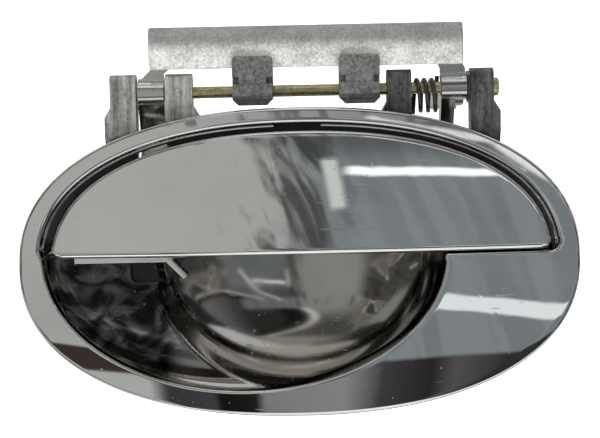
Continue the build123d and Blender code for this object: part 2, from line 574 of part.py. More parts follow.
# ---- hinge arms: a barrel on the rod, a gooseneck under the bezel's rim to the flap, and a lug above
def hinge_arm(barrel, web, pad, lug_outline, finger=None):
    """One cast arm. barrel, web and pad are (start, end) along X."""
    with BuildPart() as arm:
        with BuildSketch(at_x(barrel[0])):
            with Locations((ROD_Y, ROD_Z)):
                Circle(BARREL_R)
        extrude(amount=barrel[1] - barrel[0])
        with BuildSketch(at_x(web[0])):
            Polygon(*GOOSENECK, align=None)
        extrude(amount=web[1] - web[0])
        with BuildSketch(at_depth(PAD_Y[1])):
            with Locations(((pad[0] + pad[1]) / 2, (PAD_Z[0] + PAD_Z[1]) / 2)):
                RectangleRounded(pad[1] - pad[0], PAD_Z[1] - PAD_Z[0], PAD_R)
        extrude(amount=PAD_Y[1] - PAD_Y[0])
        with BuildSketch(at_depth(LUG_Y[1])):
            Polygon(*lug_outline, align=None)
        extrude(amount=LUG_Y[1] - LUG_Y[0])
        with BuildSketch(at_x(barrel[0])):
            with Locations(((ROD_Y + LUG_Y[1]) / 2, ROD_Z + LUG_ROOT / 2)):
                Rectangle(LUG_Y[1] - ROD_Y, LUG_ROOT)
        extrude(amount=barrel[1] - barrel[0])
        if finger:
            with BuildSketch(at_x(finger[0])):
                with Locations((ROD_Y + FINGER_REACH, ROD_Z)):
                    Circle(FINGER_R)
                with Locations((ROD_Y + FINGER_REACH / 2, ROD_Z)):
                    Rectangle(FINGER_REACH, 2 * FINGER_R)
            extrude(amount=finger[1] - finger[0])
        with BuildSketch(at_x(barrel[0])):
            with Locations((ROD_Y, ROD_Z)):
                Circle(BUSH_R)
        extrude(amount=barrel[1] - barrel[0], mode=Mode.SUBTRACT)
        with BuildSketch(at_depth(PAD_Y[1])):
            with Locations(*[p for p in ARM_SCREWS if pad[0] < p[0] < pad[1]]):
                Circle(SCREW_R + FIT)
        extrude(amount=PAD_Y[1] - PAD_Y[0], mode=Mode.SUBTRACT)
        with BuildSketch(at_depth(LUG_Y[1])):
            with Locations(*[p for p in LUG_SCREWS if p[0] * barrel[0] > 0]):
                Circle(SCREW_R + FIT)
        extrude(amount=LUG_Y[1] - LUG_Y[0], mode=Mode.SUBTRACT)
    return arm


hinge_arm_left = hinge_arm(BARREL_LEFT, BARREL_LEFT, PAD_LEFT, LUG_LEFT)
finish(hinge_arm_left, "hinge_arm_left")
hinge_arm_right = hinge_arm(BARREL_RIGHT, WEB_RIGHT, PAD_RIGHT, LUG_RIGHT, finger=CRANK_X)
finish(hinge_arm_right, "hinge_arm_right")

with BuildPart() as barrel_bushes:
    for x0, x1 in (BARREL_LEFT, BARREL_RIGHT):
        with BuildSketch(at_x(x0)):
            with Locations((ROD_Y, ROD_Z)):
                Circle(BUSH_R)
                Circle(ROD_R + FIT, mode=Mode.SUBTRACT)
        extrude(amount=x1 - x0)
finish(barrel_bushes, "barrel_bushes")

arm_screws = rear_screws(PAD_Y[1], ARM_SCREWS, PAD_Y[1] - PAD_Y[0] + ARM_SCREW_DEPTH - TIP_GAP)
finish(arm_screws, "arm_screws")

# ---- counterweight bar above the hinge, and the two hooks that carry it on the rod
with BuildPart() as counterweight_bar:
    with BuildSketch(at_depth(BAR_Y[1])):
        with Locations(((BAR_X[0] + BAR_X[1]) / 2, (BAR_Z[0] + BAR_Z[1]) / 2)):
            RectangleRounded(BAR_X[1] - BAR_X[0], BAR_Z[1] - BAR_Z[0], BAR_R)
    extrude(amount=BAR_Y[1] - BAR_Y[0])
    chamfer(counterweight_bar.edges().group_by(Axis.Y)[0], BAR_CHAMFER)
    with BuildSketch(at_depth(BAR_Y[1])):
        with Locations(*LUG_SCREWS, *HOOK_SCREWS):
            Circle(SCREW_R + FIT)
    extrude(amount=BAR_SCREW_DEPTH, mode=Mode.SUBTRACT)
finish(counterweight_bar, "counterweight_bar")


def counterweight_hook(x0, x1):
    """A cast hook: a block on the rod, gripping the bar between a front and a rear plate."""
    middle = (x0 + x1) / 2
    with BuildPart() as hook:
        with BuildSketch(at_depth(HOOK_Y[1])):
            with Locations((middle, (HOOK_Z[0] + BAR_Z[0]) / 2)):
                Rectangle(x1 - x0, BAR_Z[0] - HOOK_Z[0])
        extrude(amount=HOOK_Y[1] - HOOK_Y[0])
        chamfer(hook.edges().filter_by(Axis.Y).group_by(Axis.Z)[0], HOOK_CHAMFER)
        root_z = BAR_Z[0] - HOOK_ROOT
        for y, thick, top_z in ((BAR_Y[0], BAR_Y[0] - HOOK_Y[0], HOOK_Z[1]),
                                (HOOK_Y[1], HOOK_Y[1] - BAR_Y[1], HOOK_REAR_Z)):
            with BuildSketch(at_depth(y)):
                with Locations((middle, (root_z + top_z) / 2)):
                    RectangleRounded(x1 - x0, top_z - root_z, HOOK_R)
            extrude(amount=thick)
        with BuildSketch(at_depth(HOOK_Y[0] + HOOK_NOTCH_DEPTH)):
            with Locations((x0, HOOK_NOTCH_Z), (x1, HOOK_NOTCH_Z)):
                Rectangle(*HOOK_NOTCH)
        extrude(amount=HOOK_NOTCH_DEPTH, mode=Mode.SUBTRACT)
        with BuildSketch(at_x(x0)):
            with Locations((ROD_Y, ROD_Z)):
                Circle(ROD_R + FIT)
        extrude(amount=x1 - x0, mode=Mode.SUBTRACT)
        with BuildSketch(at_depth(HOOK_Y[1])):
            with Locations(*[p for p in HOOK_SCREWS if x0 < p[0] < x1]):
                Circle(SCREW_R + FIT)
        extrude(amount=HOOK_Y[1] - BAR_Y[1], mode=Mode.SUBTRACT)
    return hook


counterweight_hook_left = counterweight_hook(*HOOKS_X[0])
finish(counterweight_hook_left, "counterweight_hook_left")
counterweight_hook_right = counterweight_hook(*HOOKS_X[1])
finish(counterweight_hook_right, "counterweight_hook_right")

lug_screws = rear_screws(LUG_Y[1], LUG_SCREWS, LUG_Y[1] - BAR_Y[1] + BAR_SCREW_DEPTH - TIP_GAP)
finish(lug_screws, "lug_screws")
hook_screws = rear_screws(HOOK_Y[1], HOOK_SCREWS, HOOK_Y[1] - BAR_Y[1] + BAR_SCREW_DEPTH - TIP_GAP)
finish(hook_screws, "hook_screws")

# ---- latch crank: its pad lies under the arm's finger and its far end lifts the latch rod's clip
with BuildPart() as latch_crank:
    with BuildSketch(at_x(CRANK_X[0])):
        Polygon(*CRANK_OUTLINE, align=None)
        with Locations((CRANK_Y, ROD_Z)):
            Circle(CRANK_R)
        with Locations((LINK_Y, LINK_Z)):
            Circle(LINK_BOSS_R)
        with Locations((CRANK_Y, ROD_Z)):
            Circle(PIN_R + FIT, mode=Mode.SUBTRACT)
        with Locations((LINK_Y, LINK_Z)):
            Circle(LINK_R + FIT, mode=Mode.SUBTRACT)
    extrude(amount=CRANK_X[1] - CRANK_X[0])
finish(latch_crank, "latch_crank")

# ---- plastic clip that turns in the crank's end and grips the upright latch rod
with BuildPart() as latch_rod_clip:
    with BuildSketch(at_x(CLIP_X[0])):
        with Locations((LINK_Y, LINK_Z)):
            RectangleRounded(CLIP_SIZE, CLIP_SIZE, CLIP_EDGE_R)
    extrude(amount=CLIP_X[1] - CLIP_X[0])
    with BuildSketch(at_x(CLIP_X[1])):
        with Locations((LINK_Y, LINK_Z)):
            Circle(LINK_R)
    extrude(amount=CRANK_X[1] + CLIP_BARB_GAP + CLIP_BARB - CLIP_X[1])
    with BuildSketch(at_x(CRANK_X[1] + CLIP_BARB_GAP)):
        with Locations((LINK_Y, LINK_Z)):
            Circle(CLIP_BARB_R)
    extrude(amount=CLIP_BARB)
    with BuildSketch(Plane.XY.offset(LINK_Z - CLIP_SIZE)):
        with Locations((sum(CLIP_X) / 2, LINK_Y)):
            Circle(LATCH_ROD_R)
    extrude(amount=2 * CLIP_SIZE, mode=Mode.SUBTRACT)
finish(latch_rod_clip, "latch_rod_clip")
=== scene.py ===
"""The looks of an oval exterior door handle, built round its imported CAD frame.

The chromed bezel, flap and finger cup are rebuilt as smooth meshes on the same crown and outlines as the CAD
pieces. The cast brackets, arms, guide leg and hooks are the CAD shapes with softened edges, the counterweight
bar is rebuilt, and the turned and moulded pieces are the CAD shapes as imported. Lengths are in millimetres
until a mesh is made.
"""
from math import atan2, cos, degrees, pi, radians, sin, sqrt

import bmesh
import bpy
from mathutils import Matrix, Vector
from mathutils.geometry import tessellate_polygon


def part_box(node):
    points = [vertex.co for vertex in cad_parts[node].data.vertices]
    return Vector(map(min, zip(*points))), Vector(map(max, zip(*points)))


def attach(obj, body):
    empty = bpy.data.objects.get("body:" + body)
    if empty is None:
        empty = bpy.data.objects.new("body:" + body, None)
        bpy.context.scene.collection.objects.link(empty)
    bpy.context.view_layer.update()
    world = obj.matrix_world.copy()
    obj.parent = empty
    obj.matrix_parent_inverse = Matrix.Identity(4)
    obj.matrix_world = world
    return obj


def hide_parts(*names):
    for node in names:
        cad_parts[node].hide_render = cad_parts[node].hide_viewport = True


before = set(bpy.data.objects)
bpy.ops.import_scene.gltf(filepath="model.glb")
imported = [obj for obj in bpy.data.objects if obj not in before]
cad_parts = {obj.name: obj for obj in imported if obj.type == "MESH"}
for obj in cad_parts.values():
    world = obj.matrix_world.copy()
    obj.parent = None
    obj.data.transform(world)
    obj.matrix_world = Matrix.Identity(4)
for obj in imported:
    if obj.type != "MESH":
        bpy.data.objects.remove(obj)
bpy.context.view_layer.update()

MM = 0.001
SQUARENESS = 2.27                       # exponent of the oval: 2 is an ellipse
BEZEL_HALF = (95.0, 52.5)
OPENING_HALF = (86.5, 45.6)             # the flap's opening at its back
BEVEL, BEVEL_DEPTH = 4.6, 12.0          # the opening widens outward by BEVEL over BEVEL_DEPTH
PADDLE_HALF, PADDLE_SHIFT = (84.6, 44.6), 0.6
LIP_Z, LEDGE_Z, CORNER_R = 3.0, 2.5, 4.0
CROWN, CROWN_RADIUS_X, CROWN_RADIUS_Z = 9.5, 752.0, 229.0
BEZEL_SKIN, BEZEL_EDGE_R, RIM_WALL, TUNNEL_WALL = 2.6, 1.0, 3.0, 1.8
ROLL_R, FLAP_ROLL_R = 0.85, 1.7         # rolled edge of the cup's opening and of the flap's
SEAL_Y, SEAL_WIDTH = -1.45, 2.6         # ledge behind the flap's edge
ARM_LEFT = (-53.8, -44.9)
RIM_BACK_Y = -1.0
PADDLE_SKIN, PADDLE_EDGE_R, PADDLE_LIP_R, PADDLE_BACK_Y = 3.0, 1.0, 2.2, -2.0
CUP_X, CUP_HALF_X, CUP_DROP = -18.7, 68.0, 46.2
BOWL_X, BOWL_HALF_X, BOWL_RISE, BOWL_DEPTH, SHELF_DEPTH = -1.7, 51.0, 13.0, 27.0, 9.0
CUP_FRONT_Y, CUP_TOP_Z, CUP_TOP_Y, CUP_WALL = -3.0, 0.8, 1.5, 2.0
SLOT, SLOT_DEPTH = (-58.0, -33.0, -6.6, 6.0), 9.5      # x0, x1, z0, z1 of the guide leg's slot
FLANGE_Y, FLANGE_HALF = (3.0, 5.5), (90.5, 48.0)
WINDOWS, WINDOW_Z = ((-66.2, -32.3), (27.8, 70.2)), 26.0
STUDS, STUD_Z, STUD_BOSS_R, STUD_HOLE_R, STUD_BASE_Y = (-76.0, 70.0), -8.0, 6.0, 4.05, 12.0
ROD_Z, EAR_FRONT = 58.0, 2.2
EAR_CENTRES = {"hinge_bracket_left": (-58.8, -39.9), "hinge_bracket_right": (35.0, 63.0)}
HOOK_SPANS = {"counterweight_hook_left": (-21.5, -7.8), "counterweight_hook_right": (14.6, 28.3)}


# ---------------------------------------------------------------- geometry shared by the chromed pieces
def crown_y(x, z, depth=0.0):
    """Depth of the crowned surface at x, z, moved depth into the door."""
    return depth - CROWN + x * x / (2 * CROWN_RADIUS_X) + z * z / (2 * CROWN_RADIUS_Z)


def oval_point(half, angle):
    c, s = cos(angle), sin(angle)
    power = 2 / SQUARENESS
    return (half[0] * abs(c) ** power * (1 if c >= 0 else -1),
            half[1] * abs(s) ** power * (1 if s >= 0 else -1))


def round_over(distance, radius):
    """How far a rounded edge drops below its surface at a distance from the edge."""
    if distance >= radius:
        return 0.0
    return radius - sqrt(radius ** 2 - (radius - distance) ** 2)


def smooth_step(low, high, value):
    t = min(max((value - low) / (high - low), 0.0), 1.0)
    return t * t * (3 - 2 * t)


def arc_points(centre, radius, start, end, count):
    """Points on an arc, angles in degrees."""
    return [(centre[0] + radius * cos(radians(start + (end - start) * i / count)),
             centre[1] + radius * sin(radians(start + (end - start) * i / count)))
            for i in range(count + 1)]


def equal_steps(points, count):
    """The line through points as count points at equal steps, without its last point."""
    lengths = [0.0]
    for a, b in zip(points, points[1:]):
        lengths.append(lengths[-1] + sqrt((b[0] - a[0]) ** 2 + (b[1] - a[1]) ** 2))
    result, k = [], 0
    for i in range(count):
        target = lengths[-1] * i / count
        while lengths[k + 1] < target:
            k += 1
        t = (target - lengths[k]) / max(lengths[k + 1] - lengths[k], 1e-9)
        a, b = points[k], points[k + 1]
        result.append((a[0] + (b[0] - a[0]) * t, a[1] + (b[1] - a[1]) * t))
    return result


def outline_normals(points):
    """Unit normals that point out of a closed counterclockwise outline."""
    normals = []
    for i, _ in enumerate(points):
        a, b = points[i - 1], points[(i + 1) % len(points)]
        dx, dz = b[0] - a[0], b[1] - a[1]
        length = sqrt(dx * dx + dz * dz)
        normals.append((dz / length, -dx / length))
    return normals


def face_out(bm):
    """Turn the faces of a closed mesh outward."""
    bmesh.ops.recalc_face_normals(bm, faces=bm.faces)
    if bm.calc_volume(signed=True) < 0:
        bmesh.ops.reverse_faces(bm, faces=bm.faces)


def new_piece(name, verts, faces, sharp=40.0):
    """A mesh piece from points in millimetres, smooth except where its faces turn sharply."""
    mesh = bpy.data.meshes.new(name)
    mesh.from_pydata([(x * MM, y * MM, z * MM) for x, y, z in verts], [], faces)
    mesh.validate()
    obj = bpy.data.objects.new(name, mesh)
    bpy.context.collection.objects.link(obj)
    bm = bmesh.new()
    bm.from_mesh(mesh)
    face_out(bm)
    bm.to_mesh(mesh)
    bm.free()
    mesh.polygons.foreach_set("use_smooth", [True] * len(mesh.polygons))
    mesh.set_sharp_from_angle(angle=radians(sharp))
    return obj


def loop_faces(a, b):
    """Faces between two closed loops of vertex numbers."""
    return [(a[k], a[(k + 1) % len(a)], b[(k + 1) % len(a)], b[k]) for k in range(len(a))]


def ring_faces(count, rings, closed=False):
    """Faces between neighbouring rings of count points; closed also joins the last ring to the first."""
    loops = [[r * count + i for i in range(count)] for r in range(rings)]
    following = loops[1:] + (loops[:1] if closed else [])
    return [face for a, b in zip(loops, following) for face in loop_faces(a, b)]


def grid_faces(count, base=0):
    """Faces of a square grid with count cells a side, numbered from base."""
    side = count + 1
    corners = [base + i * side + j for i in range(count) for j in range(count)]
    return [(a, a + 1, a + side + 1, a + side) for a in corners]


def ring_between(start, end, share, depth=0.0, limit=None):
    """Ring on the crown between two rings of (x, z) points, no deeper than limit."""
    ring = []
    for (x0, z0), (x1, z1) in zip(start, end):
        x, z = x0 + (x1 - x0) * share, z0 + (z1 - z0) * share
        y = crown_y(x, z, depth)
        ring.append((x, y if limit is None else min(y, limit), z))
    return ring


def flattened(ring):
    """The (x, z) points of a ring."""
    return [(x, z) for x, _, z in ring]


# ---------------------------------------------------------------- bezel
def flap_opening_half(x, z):
    """Half sizes of the flap's opening where it meets the crown at x, z."""
    widen = -crown_y(x, z) * BEVEL / BEVEL_DEPTH
    return OPENING_HALF[0] + widen, OPENING_HALF[1] + widen


def flap_arc_point(angle):
    point = oval_point(OPENING_HALF, angle)
    for _ in range(4):
        point = oval_point(flap_opening_half(*point), angle)
    return point


def arm_notch(x):
    """1 where the left hinge arm passes the seal, 0 elsewhere."""
    start, end = ARM_LEFT
    return smooth_step(start - 1.5, start - 0.5, x) - smooth_step(end + 0.5, end + 1.5, x)


def build_bezel(count=1200):
    corner_x = flap_arc_point(radians(3))[0] - CORNER_R
    tip_x = CUP_X + CUP_HALF_X
    inner = arc_points((corner_x, LEDGE_Z + CORNER_R), CORNER_R, -90, 0, 12)
    arc_start = next(a for a in range(1, 400)
                     if flap_arc_point(radians(a * 0.1))[1] > LEDGE_Z + CORNER_R + 0.3)
    arc_end = next(a for a in range(1700, 1900) if flap_arc_point(radians(a * 0.1))[1] < LEDGE_Z + 3.5)
    inner += [flap_arc_point(radians(a * 0.1)) for a in range(arc_start, arc_end, 10)]
    inner += [(CUP_X + CUP_HALF_X * cos(radians(a)), LIP_Z + CUP_DROP * sin(radians(a)))
              for a in range(184, 357)]
    inner += arc_points((tip_x + 0.75, LEDGE_Z - 1.2), 1.2, 175, 90, 8)
    inner = equal_steps(inner + inner[:1], count)
    normals = outline_normals(inner)
    outer, flap_share = [], []
    for x, z in inner:
        if z > LEDGE_Z + 0.2:
            angle = atan2(z / OPENING_HALF[1], x / OPENING_HALF[0])
        elif x > tip_x - 0.5 and z > 0:
            angle = -radians(36) * (1 - smooth_step(tip_x - 1, corner_x + 2, x))
        else:
            share = (degrees(atan2((z - LIP_Z) / CUP_DROP, (x - CUP_X) / CUP_HALF_X)) % 360 - 180) / 180
            angle = radians(180 + 144 * share + 8 * sin(pi * share))
        outer.append(angle)
        flap_share.append(1.0 if z > LEDGE_Z + 1.0 else 0.0)
    for _ in range(12):
        flap_share = [(flap_share[i - 1] + 2 * flap_share[i] + flap_share[(i + 1) % count]) / 4
                      for i in range(count)]
    rolls = [ROLL_R + (FLAP_ROLL_R - ROLL_R) * share for share in flap_share]
    outline = [oval_point(BEZEL_HALF, a) for a in outer]
    out_normals = [Vector((abs(x / BEZEL_HALF[0]) ** (SQUARENESS - 1) * (1 if x > 0 else -1) / BEZEL_HALF[0],
                           abs(z / BEZEL_HALF[1]) ** (SQUARENESS - 1) * (1 if z > 0 else -1) / BEZEL_HALF[1]))
                   .normalized() for x, z in outline]

    def ring_in(distance, drop, absolute=None):
        """Ring inside the outer edge."""
        ring = []
        for (x, z), n in zip(outline, out_normals):
            px, pz = x - n[0] * distance, z - n[1] * distance
            ring.append((px, crown_y(px, pz) + drop if absolute is None else absolute, pz))
        return ring

    def ring_out(share):
        """Ring on the rolled edge of the openings, share of the roll's radius from the edge."""
        ring = []
        for (x, z), n, radius in zip(inner, normals, rolls):
            px, pz = x + n[0] * radius * share, z + n[1] * radius * share
            ring.append((px, crown_y(px, pz) + round_over(radius * share, radius), pz))
        return ring

    steps = 7
    rings = [ring_in(0, 0, absolute=RIM_BACK_Y)]
    for k in range(steps + 1):
        distance = BEZEL_EDGE_R * (1 - cos(pi / 2 * k / steps))
        rings.append(ring_in(distance, round_over(distance, BEZEL_EDGE_R)))
    start, end = flattened(rings[-1]), flattened(ring_out(1.0))
    spans = 16
    rings += [ring_between(start, end, k / spans) for k in range(1, spans)]
    for k in range(steps, -1, -1):
        rings.append(ring_out(1 - cos(pi / 2 * k / steps)))
    rows = [[], [], [], [], []]
    for (x, z), n, share in zip(inner, normals, flap_share):
        top_y, thin_y = crown_y(x, z), crown_y(x, z, BEZEL_SKIN + 0.3)
        taper = share * BEVEL * (SEAL_Y - top_y) / BEVEL_DEPTH
        seal = taper + SEAL_WIDTH * (1 - 0.8 * arm_notch(x))
        spots = ((-taper, SEAL_Y, 0.0, thin_y), (-seal, SEAL_Y, 0.3, thin_y + 0.05),
                 (-seal, RIM_BACK_Y, 0.6, thin_y + 0.05), (TUNNEL_WALL - taper, RIM_BACK_Y, 1.6, thin_y),
                 (TUNNEL_WALL, crown_y(x, z, BEZEL_SKIN), TUNNEL_WALL, crown_y(x, z, BEZEL_SKIN)))
        for row, (flap_shift, flap_y, cup_shift, cup_y) in zip(rows, spots):
            shift = cup_shift + (flap_shift - cup_shift) * share
            row.append((x + n[0] * shift, cup_y + (flap_y - cup_y) * share, z + n[1] * shift))
    rings += rows
    rings.append(ring_in(RIM_WALL, BEZEL_SKIN))
    rings.append(ring_in(RIM_WALL, 0, absolute=RIM_BACK_Y))
    verts = [point for ring in rings for point in ring]
    return new_piece("bezel_shell", verts, ring_faces(count, len(rings), closed=True), sharp=50)


# ---------------------------------------------------------------- flap
def build_paddle(half_count=300):
    """The crowned flap: rings run in from its outline to a line along its middle."""
    def edge(angle):
        x, z = oval_point(PADDLE_HALF, angle)
        return x + PADDLE_SHIFT, z

    right_x = edge(radians(4))[0] - CORNER_R
    left_x = edge(radians(176))[0] + CORNER_R
    start = next(a for a in range(1, 300) if edge(radians(a * 0.1))[1] > LIP_Z + CORNER_R + 0.2)
    top = arc_points((right_x, LIP_Z + CORNER_R), CORNER_R, -45, 0, 6)
    top += [edge(radians(a * 0.1)) for a in range(start, 1801 - start, 8)]
    top += arc_points((left_x, LIP_Z + CORNER_R), CORNER_R, 180, 225, 6)
    bottom = arc_points((left_x, LIP_Z + CORNER_R), CORNER_R, 225, 270, 8)
    bottom += arc_points((right_x, LIP_Z + CORNER_R), CORNER_R, 270, 315, 8)

    outline = equal_steps(top, half_count) + equal_steps(bottom, half_count)
    count = len(outline)
    normals = outline_normals(outline)
    lip = [smooth_step(-0.6, -0.95, n[1]) for n in normals]
    radii = [PADDLE_EDGE_R + (PADDLE_LIP_R - PADDLE_EDGE_R) * share for share in lip]
    middle = []
    for i in range(count):
        t = i / half_count if i <= half_count else (count - i) / half_count
        middle.append((PADDLE_SHIFT + 62 * cos(pi * t), LIP_Z + 15))

    def inset(share):
        ring = []
        for (x, z), n, radius in zip(outline, normals, radii):
            distance = radius * share
            px, pz = x - n[0] * distance, z - n[1] * distance
            ring.append((px, crown_y(px, pz) + round_over(distance, radius), pz))
        return ring

    steps = 8
    front = [inset(1 - cos(pi / 2 * k / steps)) for k in range(steps + 1)]
    spans = 22
    edge_ring = flattened(front[-1])
    front += [ring_between(edge_ring, middle, k / spans) for k in range(1, spans)]

    side_width, lip_width, back_spans = 0.35, 2.6, 10
    flat = []
    for (x, z), n, share in zip(outline, normals, lip):
        width = side_width + (lip_width - side_width) * share
        flat.append((x - n[0] * width, z - n[1] * width))
    back_rings = [[(x, PADDLE_BACK_Y, z) for x, z in line] for line in (outline, flat)]
    back_rings += [ring_between(flat, middle, k / back_spans, PADDLE_SKIN, PADDLE_BACK_Y - 0.05)
                   for k in range(back_spans)]

    rings = back_rings[::-1] + front
    verts = [p for ring in rings for p in ring]
    faces = ring_faces(count, len(rings))
    for ring_index, depth in ((len(rings) - 1, 0.0), (0, PADDLE_SKIN)):
        base = len(verts)
        for i in range(half_count + 1):
            x, z = middle[i]
            verts.append((x, crown_y(x, z, depth), z))
        offset = ring_index * count
        for i in range(count):
            j = (i + 1) % count
            a = base + (i if i <= half_count else count - i)
            b = base + (j if j <= half_count else count - j)
            if j == 0:
                b = base
            faces.append((offset + i, offset + j, b, a))
    return new_piece("flap_shell", verts, faces, sharp=50)


# ---------------------------------------------------------------- finger cup
def cup_depth(x, z, grow=0.0, soft=4.0):
    """Depth of the cup's surface: a deep bowl and a shallow shelf, run into each other softly."""
    depths = []
    for centre, half_x, depth in ((BOWL_X, BOWL_HALF_X, BOWL_DEPTH), (CUP_X, CUP_HALF_X, SHELF_DEPTH)):
        half_z = CUP_DROP if z < LIP_Z else BOWL_RISE
        rho = ((x - centre) / (half_x + grow)) ** 2 + ((z - LIP_Z) / (half_z + grow)) ** 2
        depths.append((depth + grow) * sqrt(max(1 - rho, 0.0)))
    bowl, shelf = depths
    h = max(soft - abs(bowl - shelf), 0.0) / soft
    return CUP_FRONT_Y + max(bowl, shelf) + h * h * soft / 4 * smooth_step(0, 2, min(bowl, shelf))


def cup_grid(grow, count):
    """Square grid of points that fills the cup's ellipse, and the cup's depth at each."""
    points = []
    for i in range(count + 1):
        for j in range(count + 1):
            u, v = -cos(pi * i / count), -cos(pi * j / count)
            u, v = 0.5 * u + 0.5 * (2 * i / count - 1), 0.5 * v + 0.5 * (2 * j / count - 1)
            dx, dz = u * sqrt(1 - v * v / 2), v * sqrt(1 - u * u / 2)
            half_z = (CUP_DROP if dz < 0 else BOWL_RISE) + grow
            x, z = CUP_X + (CUP_HALF_X + grow) * dx, LIP_Z + half_z * dz
            points.append((x, cup_depth(x, z, grow), z))
    return points


def grid_rim(count):
    """Indices of the grid's border, in order."""
    side = count + 1
    rim = [i * side for i in range(side)]
    rim += [count * side + j for j in range(1, side)]
    rim += [i * side + count for i in range(count - 1, -1, -1)]
    rim += [j for j in range(count - 1, 0, -1)]
    return rim


def build_cup_skin(count=150):
    """Closed shell of the cup's bowl and shelf."""
    inside, outside = cup_grid(0.0, count), cup_grid(CUP_WALL, count)
    verts = inside + outside
    faces = grid_faces(count) + grid_faces(count, len(inside))
    rim = grid_rim(count)

    def front_y(x, z):
        low = crown_y(x, z, BEZEL_SKIN + 0.35)
        return low if z < CUP_TOP_Z else CUP_TOP_Y

    rows = []
    for base in (0, len(inside)):
        row = []
        for index in rim:
            x, y, z = verts[base + index]
            target = front_y(x, z)
            row.append(len(verts))
            verts.append((x, min(target, y) if z < CUP_TOP_Z else target, z))
        rows.append(row)
    loops = [rim, rows[0], rows[1], [len(inside) + index for index in rim]]
    for a, b in zip(loops, loops[1:]):
        faces += loop_faces(a, b)
    return new_piece("finger_cup_shell", verts, faces, sharp=55)


def plate(name, loops, y_front, y_back):
    """A flat plate with holes: the first loop is its outline, the others are holes."""
    flat = [p for loop in loops for p in loop]
    triangles = tessellate_polygon([[Vector((x, z, 0)) for x, z in loop] for loop in loops])
    verts = [(x, y_front, z) for x, z in flat] + [(x, y_back, z) for x, z in flat]
    total = len(flat)
    faces = [tuple(t) for t in triangles] + [tuple(i + total for i in reversed(t)) for t in triangles]
    base = 0
    for loop in loops:
        front = range(base, base + len(loop))
        faces += loop_faces(front, [i + total for i in front])
        base += len(loop)
    return new_piece(name, verts, faces)


def oval_with_windows(half, windows, low_z, count=360):
    """The flange's outline: an oval cut down to low_z across each window."""
    def top(x):
        return half[1] * (1 - abs(x / half[0]) ** SQUARENESS) ** (1 / SQUARENESS)

    points = [oval_point(half, 2 * pi * i / count) for i in range(count)]
    upper, lower = points[:count // 2 + 1], points[count // 2 + 1:]
    outline, right_end = [], half[0]
    for x0, x1 in sorted(windows, reverse=True):
        outline += [p for p in upper if x1 <= p[0] <= right_end]
        outline += [(x1, top(x1)), (x1, low_z), (x0, low_z), (x0, top(x0))]
        right_end = x0
    return outline + [p for p in upper if p[0] <= right_end] + lower


def join(name, pieces):
    """One object from several, with the first one's material slots."""
    bpy.ops.object.select_all(action="DESELECT")
    for piece in pieces:
        piece.select_set(True)
    bpy.context.view_layer.objects.active = pieces[0]
    bpy.ops.object.join()
    pieces[0].name = name
    return pieces[0]


def freeze(obj):
    """Apply an object's modifiers to its mesh."""
    graph = bpy.context.evaluated_depsgraph_get()
    mesh = bpy.data.meshes.new_from_object(obj.evaluated_get(graph))
    obj.modifiers.clear()
    obj.data = mesh
    return obj


def rounded_rect(x0, x1, z0, z1, radius):
    points = []
    for cx, cz, start in ((x1 - radius, z1 - radius, 0), (x0 + radius, z1 - radius, 90),
                          (x0 + radius, z0 + radius, 180), (x1 - radius, z0 + radius, 270)):
        points += arc_points((cx, cz), radius, start, start + 90, 5)
    return points


def circle_loop(x, z, radius, count=40):
    return [(x + radius * cos(2 * pi * i / count), z + radius * sin(2 * pi * i / count))
            for i in range(count)]


def open_slot(skin, margin=0.3):
    """Open the slot through both sides of the skin and close the cut edge."""
    x0, x1, z0, z1 = SLOT
    planes = (((x0 - margin, 0, 0), (1, 0, 0)), ((x1 + margin, 0, 0), (1, 0, 0)),
              ((0, 0, z0 - margin), (0, 0, 1)), ((0, 0, z1), (0, 0, 1)), ((0, SLOT_DEPTH, 0), (0, 1, 0)))
    near_x, near_z = (x0 - 5, x1 + 5), (-12, 11)
    bm = bmesh.new()
    bm.from_mesh(skin.data)
    for point, normal in planes:
        near = []
        for face in bm.faces:
            x, _, z = (value / MM for value in face.calc_center_median())
            if near_x[0] < x < near_x[1] and near_z[0] < z < near_z[1]:
                near.append(face)
        parts = set(near)
        for face in near:
            parts.update(face.edges)
            parts.update(face.verts)
        bmesh.ops.bisect_plane(bm, geom=list(parts), dist=1e-7, plane_co=Vector(point) * MM,
                               plane_no=normal)
    gone = []
    for face in bm.faces:
        x, y, z = (value / MM for value in face.calc_center_median())
        if x0 - margin < x < x1 + margin and z0 - margin < z < z1 and y < SLOT_DEPTH:
            gone.append(face)
    bmesh.ops.delete(bm, geom=gone, context="FACES")
    bmesh.ops.bridge_loops(bm, edges=[edge for edge in bm.edges if edge.is_boundary])
    face_out(bm)
    bm.to_mesh(skin.data)
    bm.free()
    skin.data.polygons.foreach_set("use_smooth", [True] * len(skin.data.polygons))


def cavity(count=64, behind=0.15, front_y=-15.0):
    """The air in the cup, reaching a little behind the cup's surface."""
    verts = [(x, y + behind, z) for x, y, z in cup_grid(0.0, count)]
    faces = grid_faces(count)
    rim = grid_rim(count)
    front = [len(verts) + k for k in range(len(rim))]
    verts += [(verts[index][0], front_y, verts[index][2]) for index in rim]
    faces += loop_faces(rim, front)
    faces.append(tuple(front[::-1]))
    return new_piece("cup_air", verts, faces)


def cut_away(piece, cutter):
    """Take the cutter's volume out of the piece."""
    cut = piece.modifiers.new("cut", "BOOLEAN")
    cut.operation, cut.solver, cut.object = "DIFFERENCE", "EXACT", cutter
    freeze(piece)


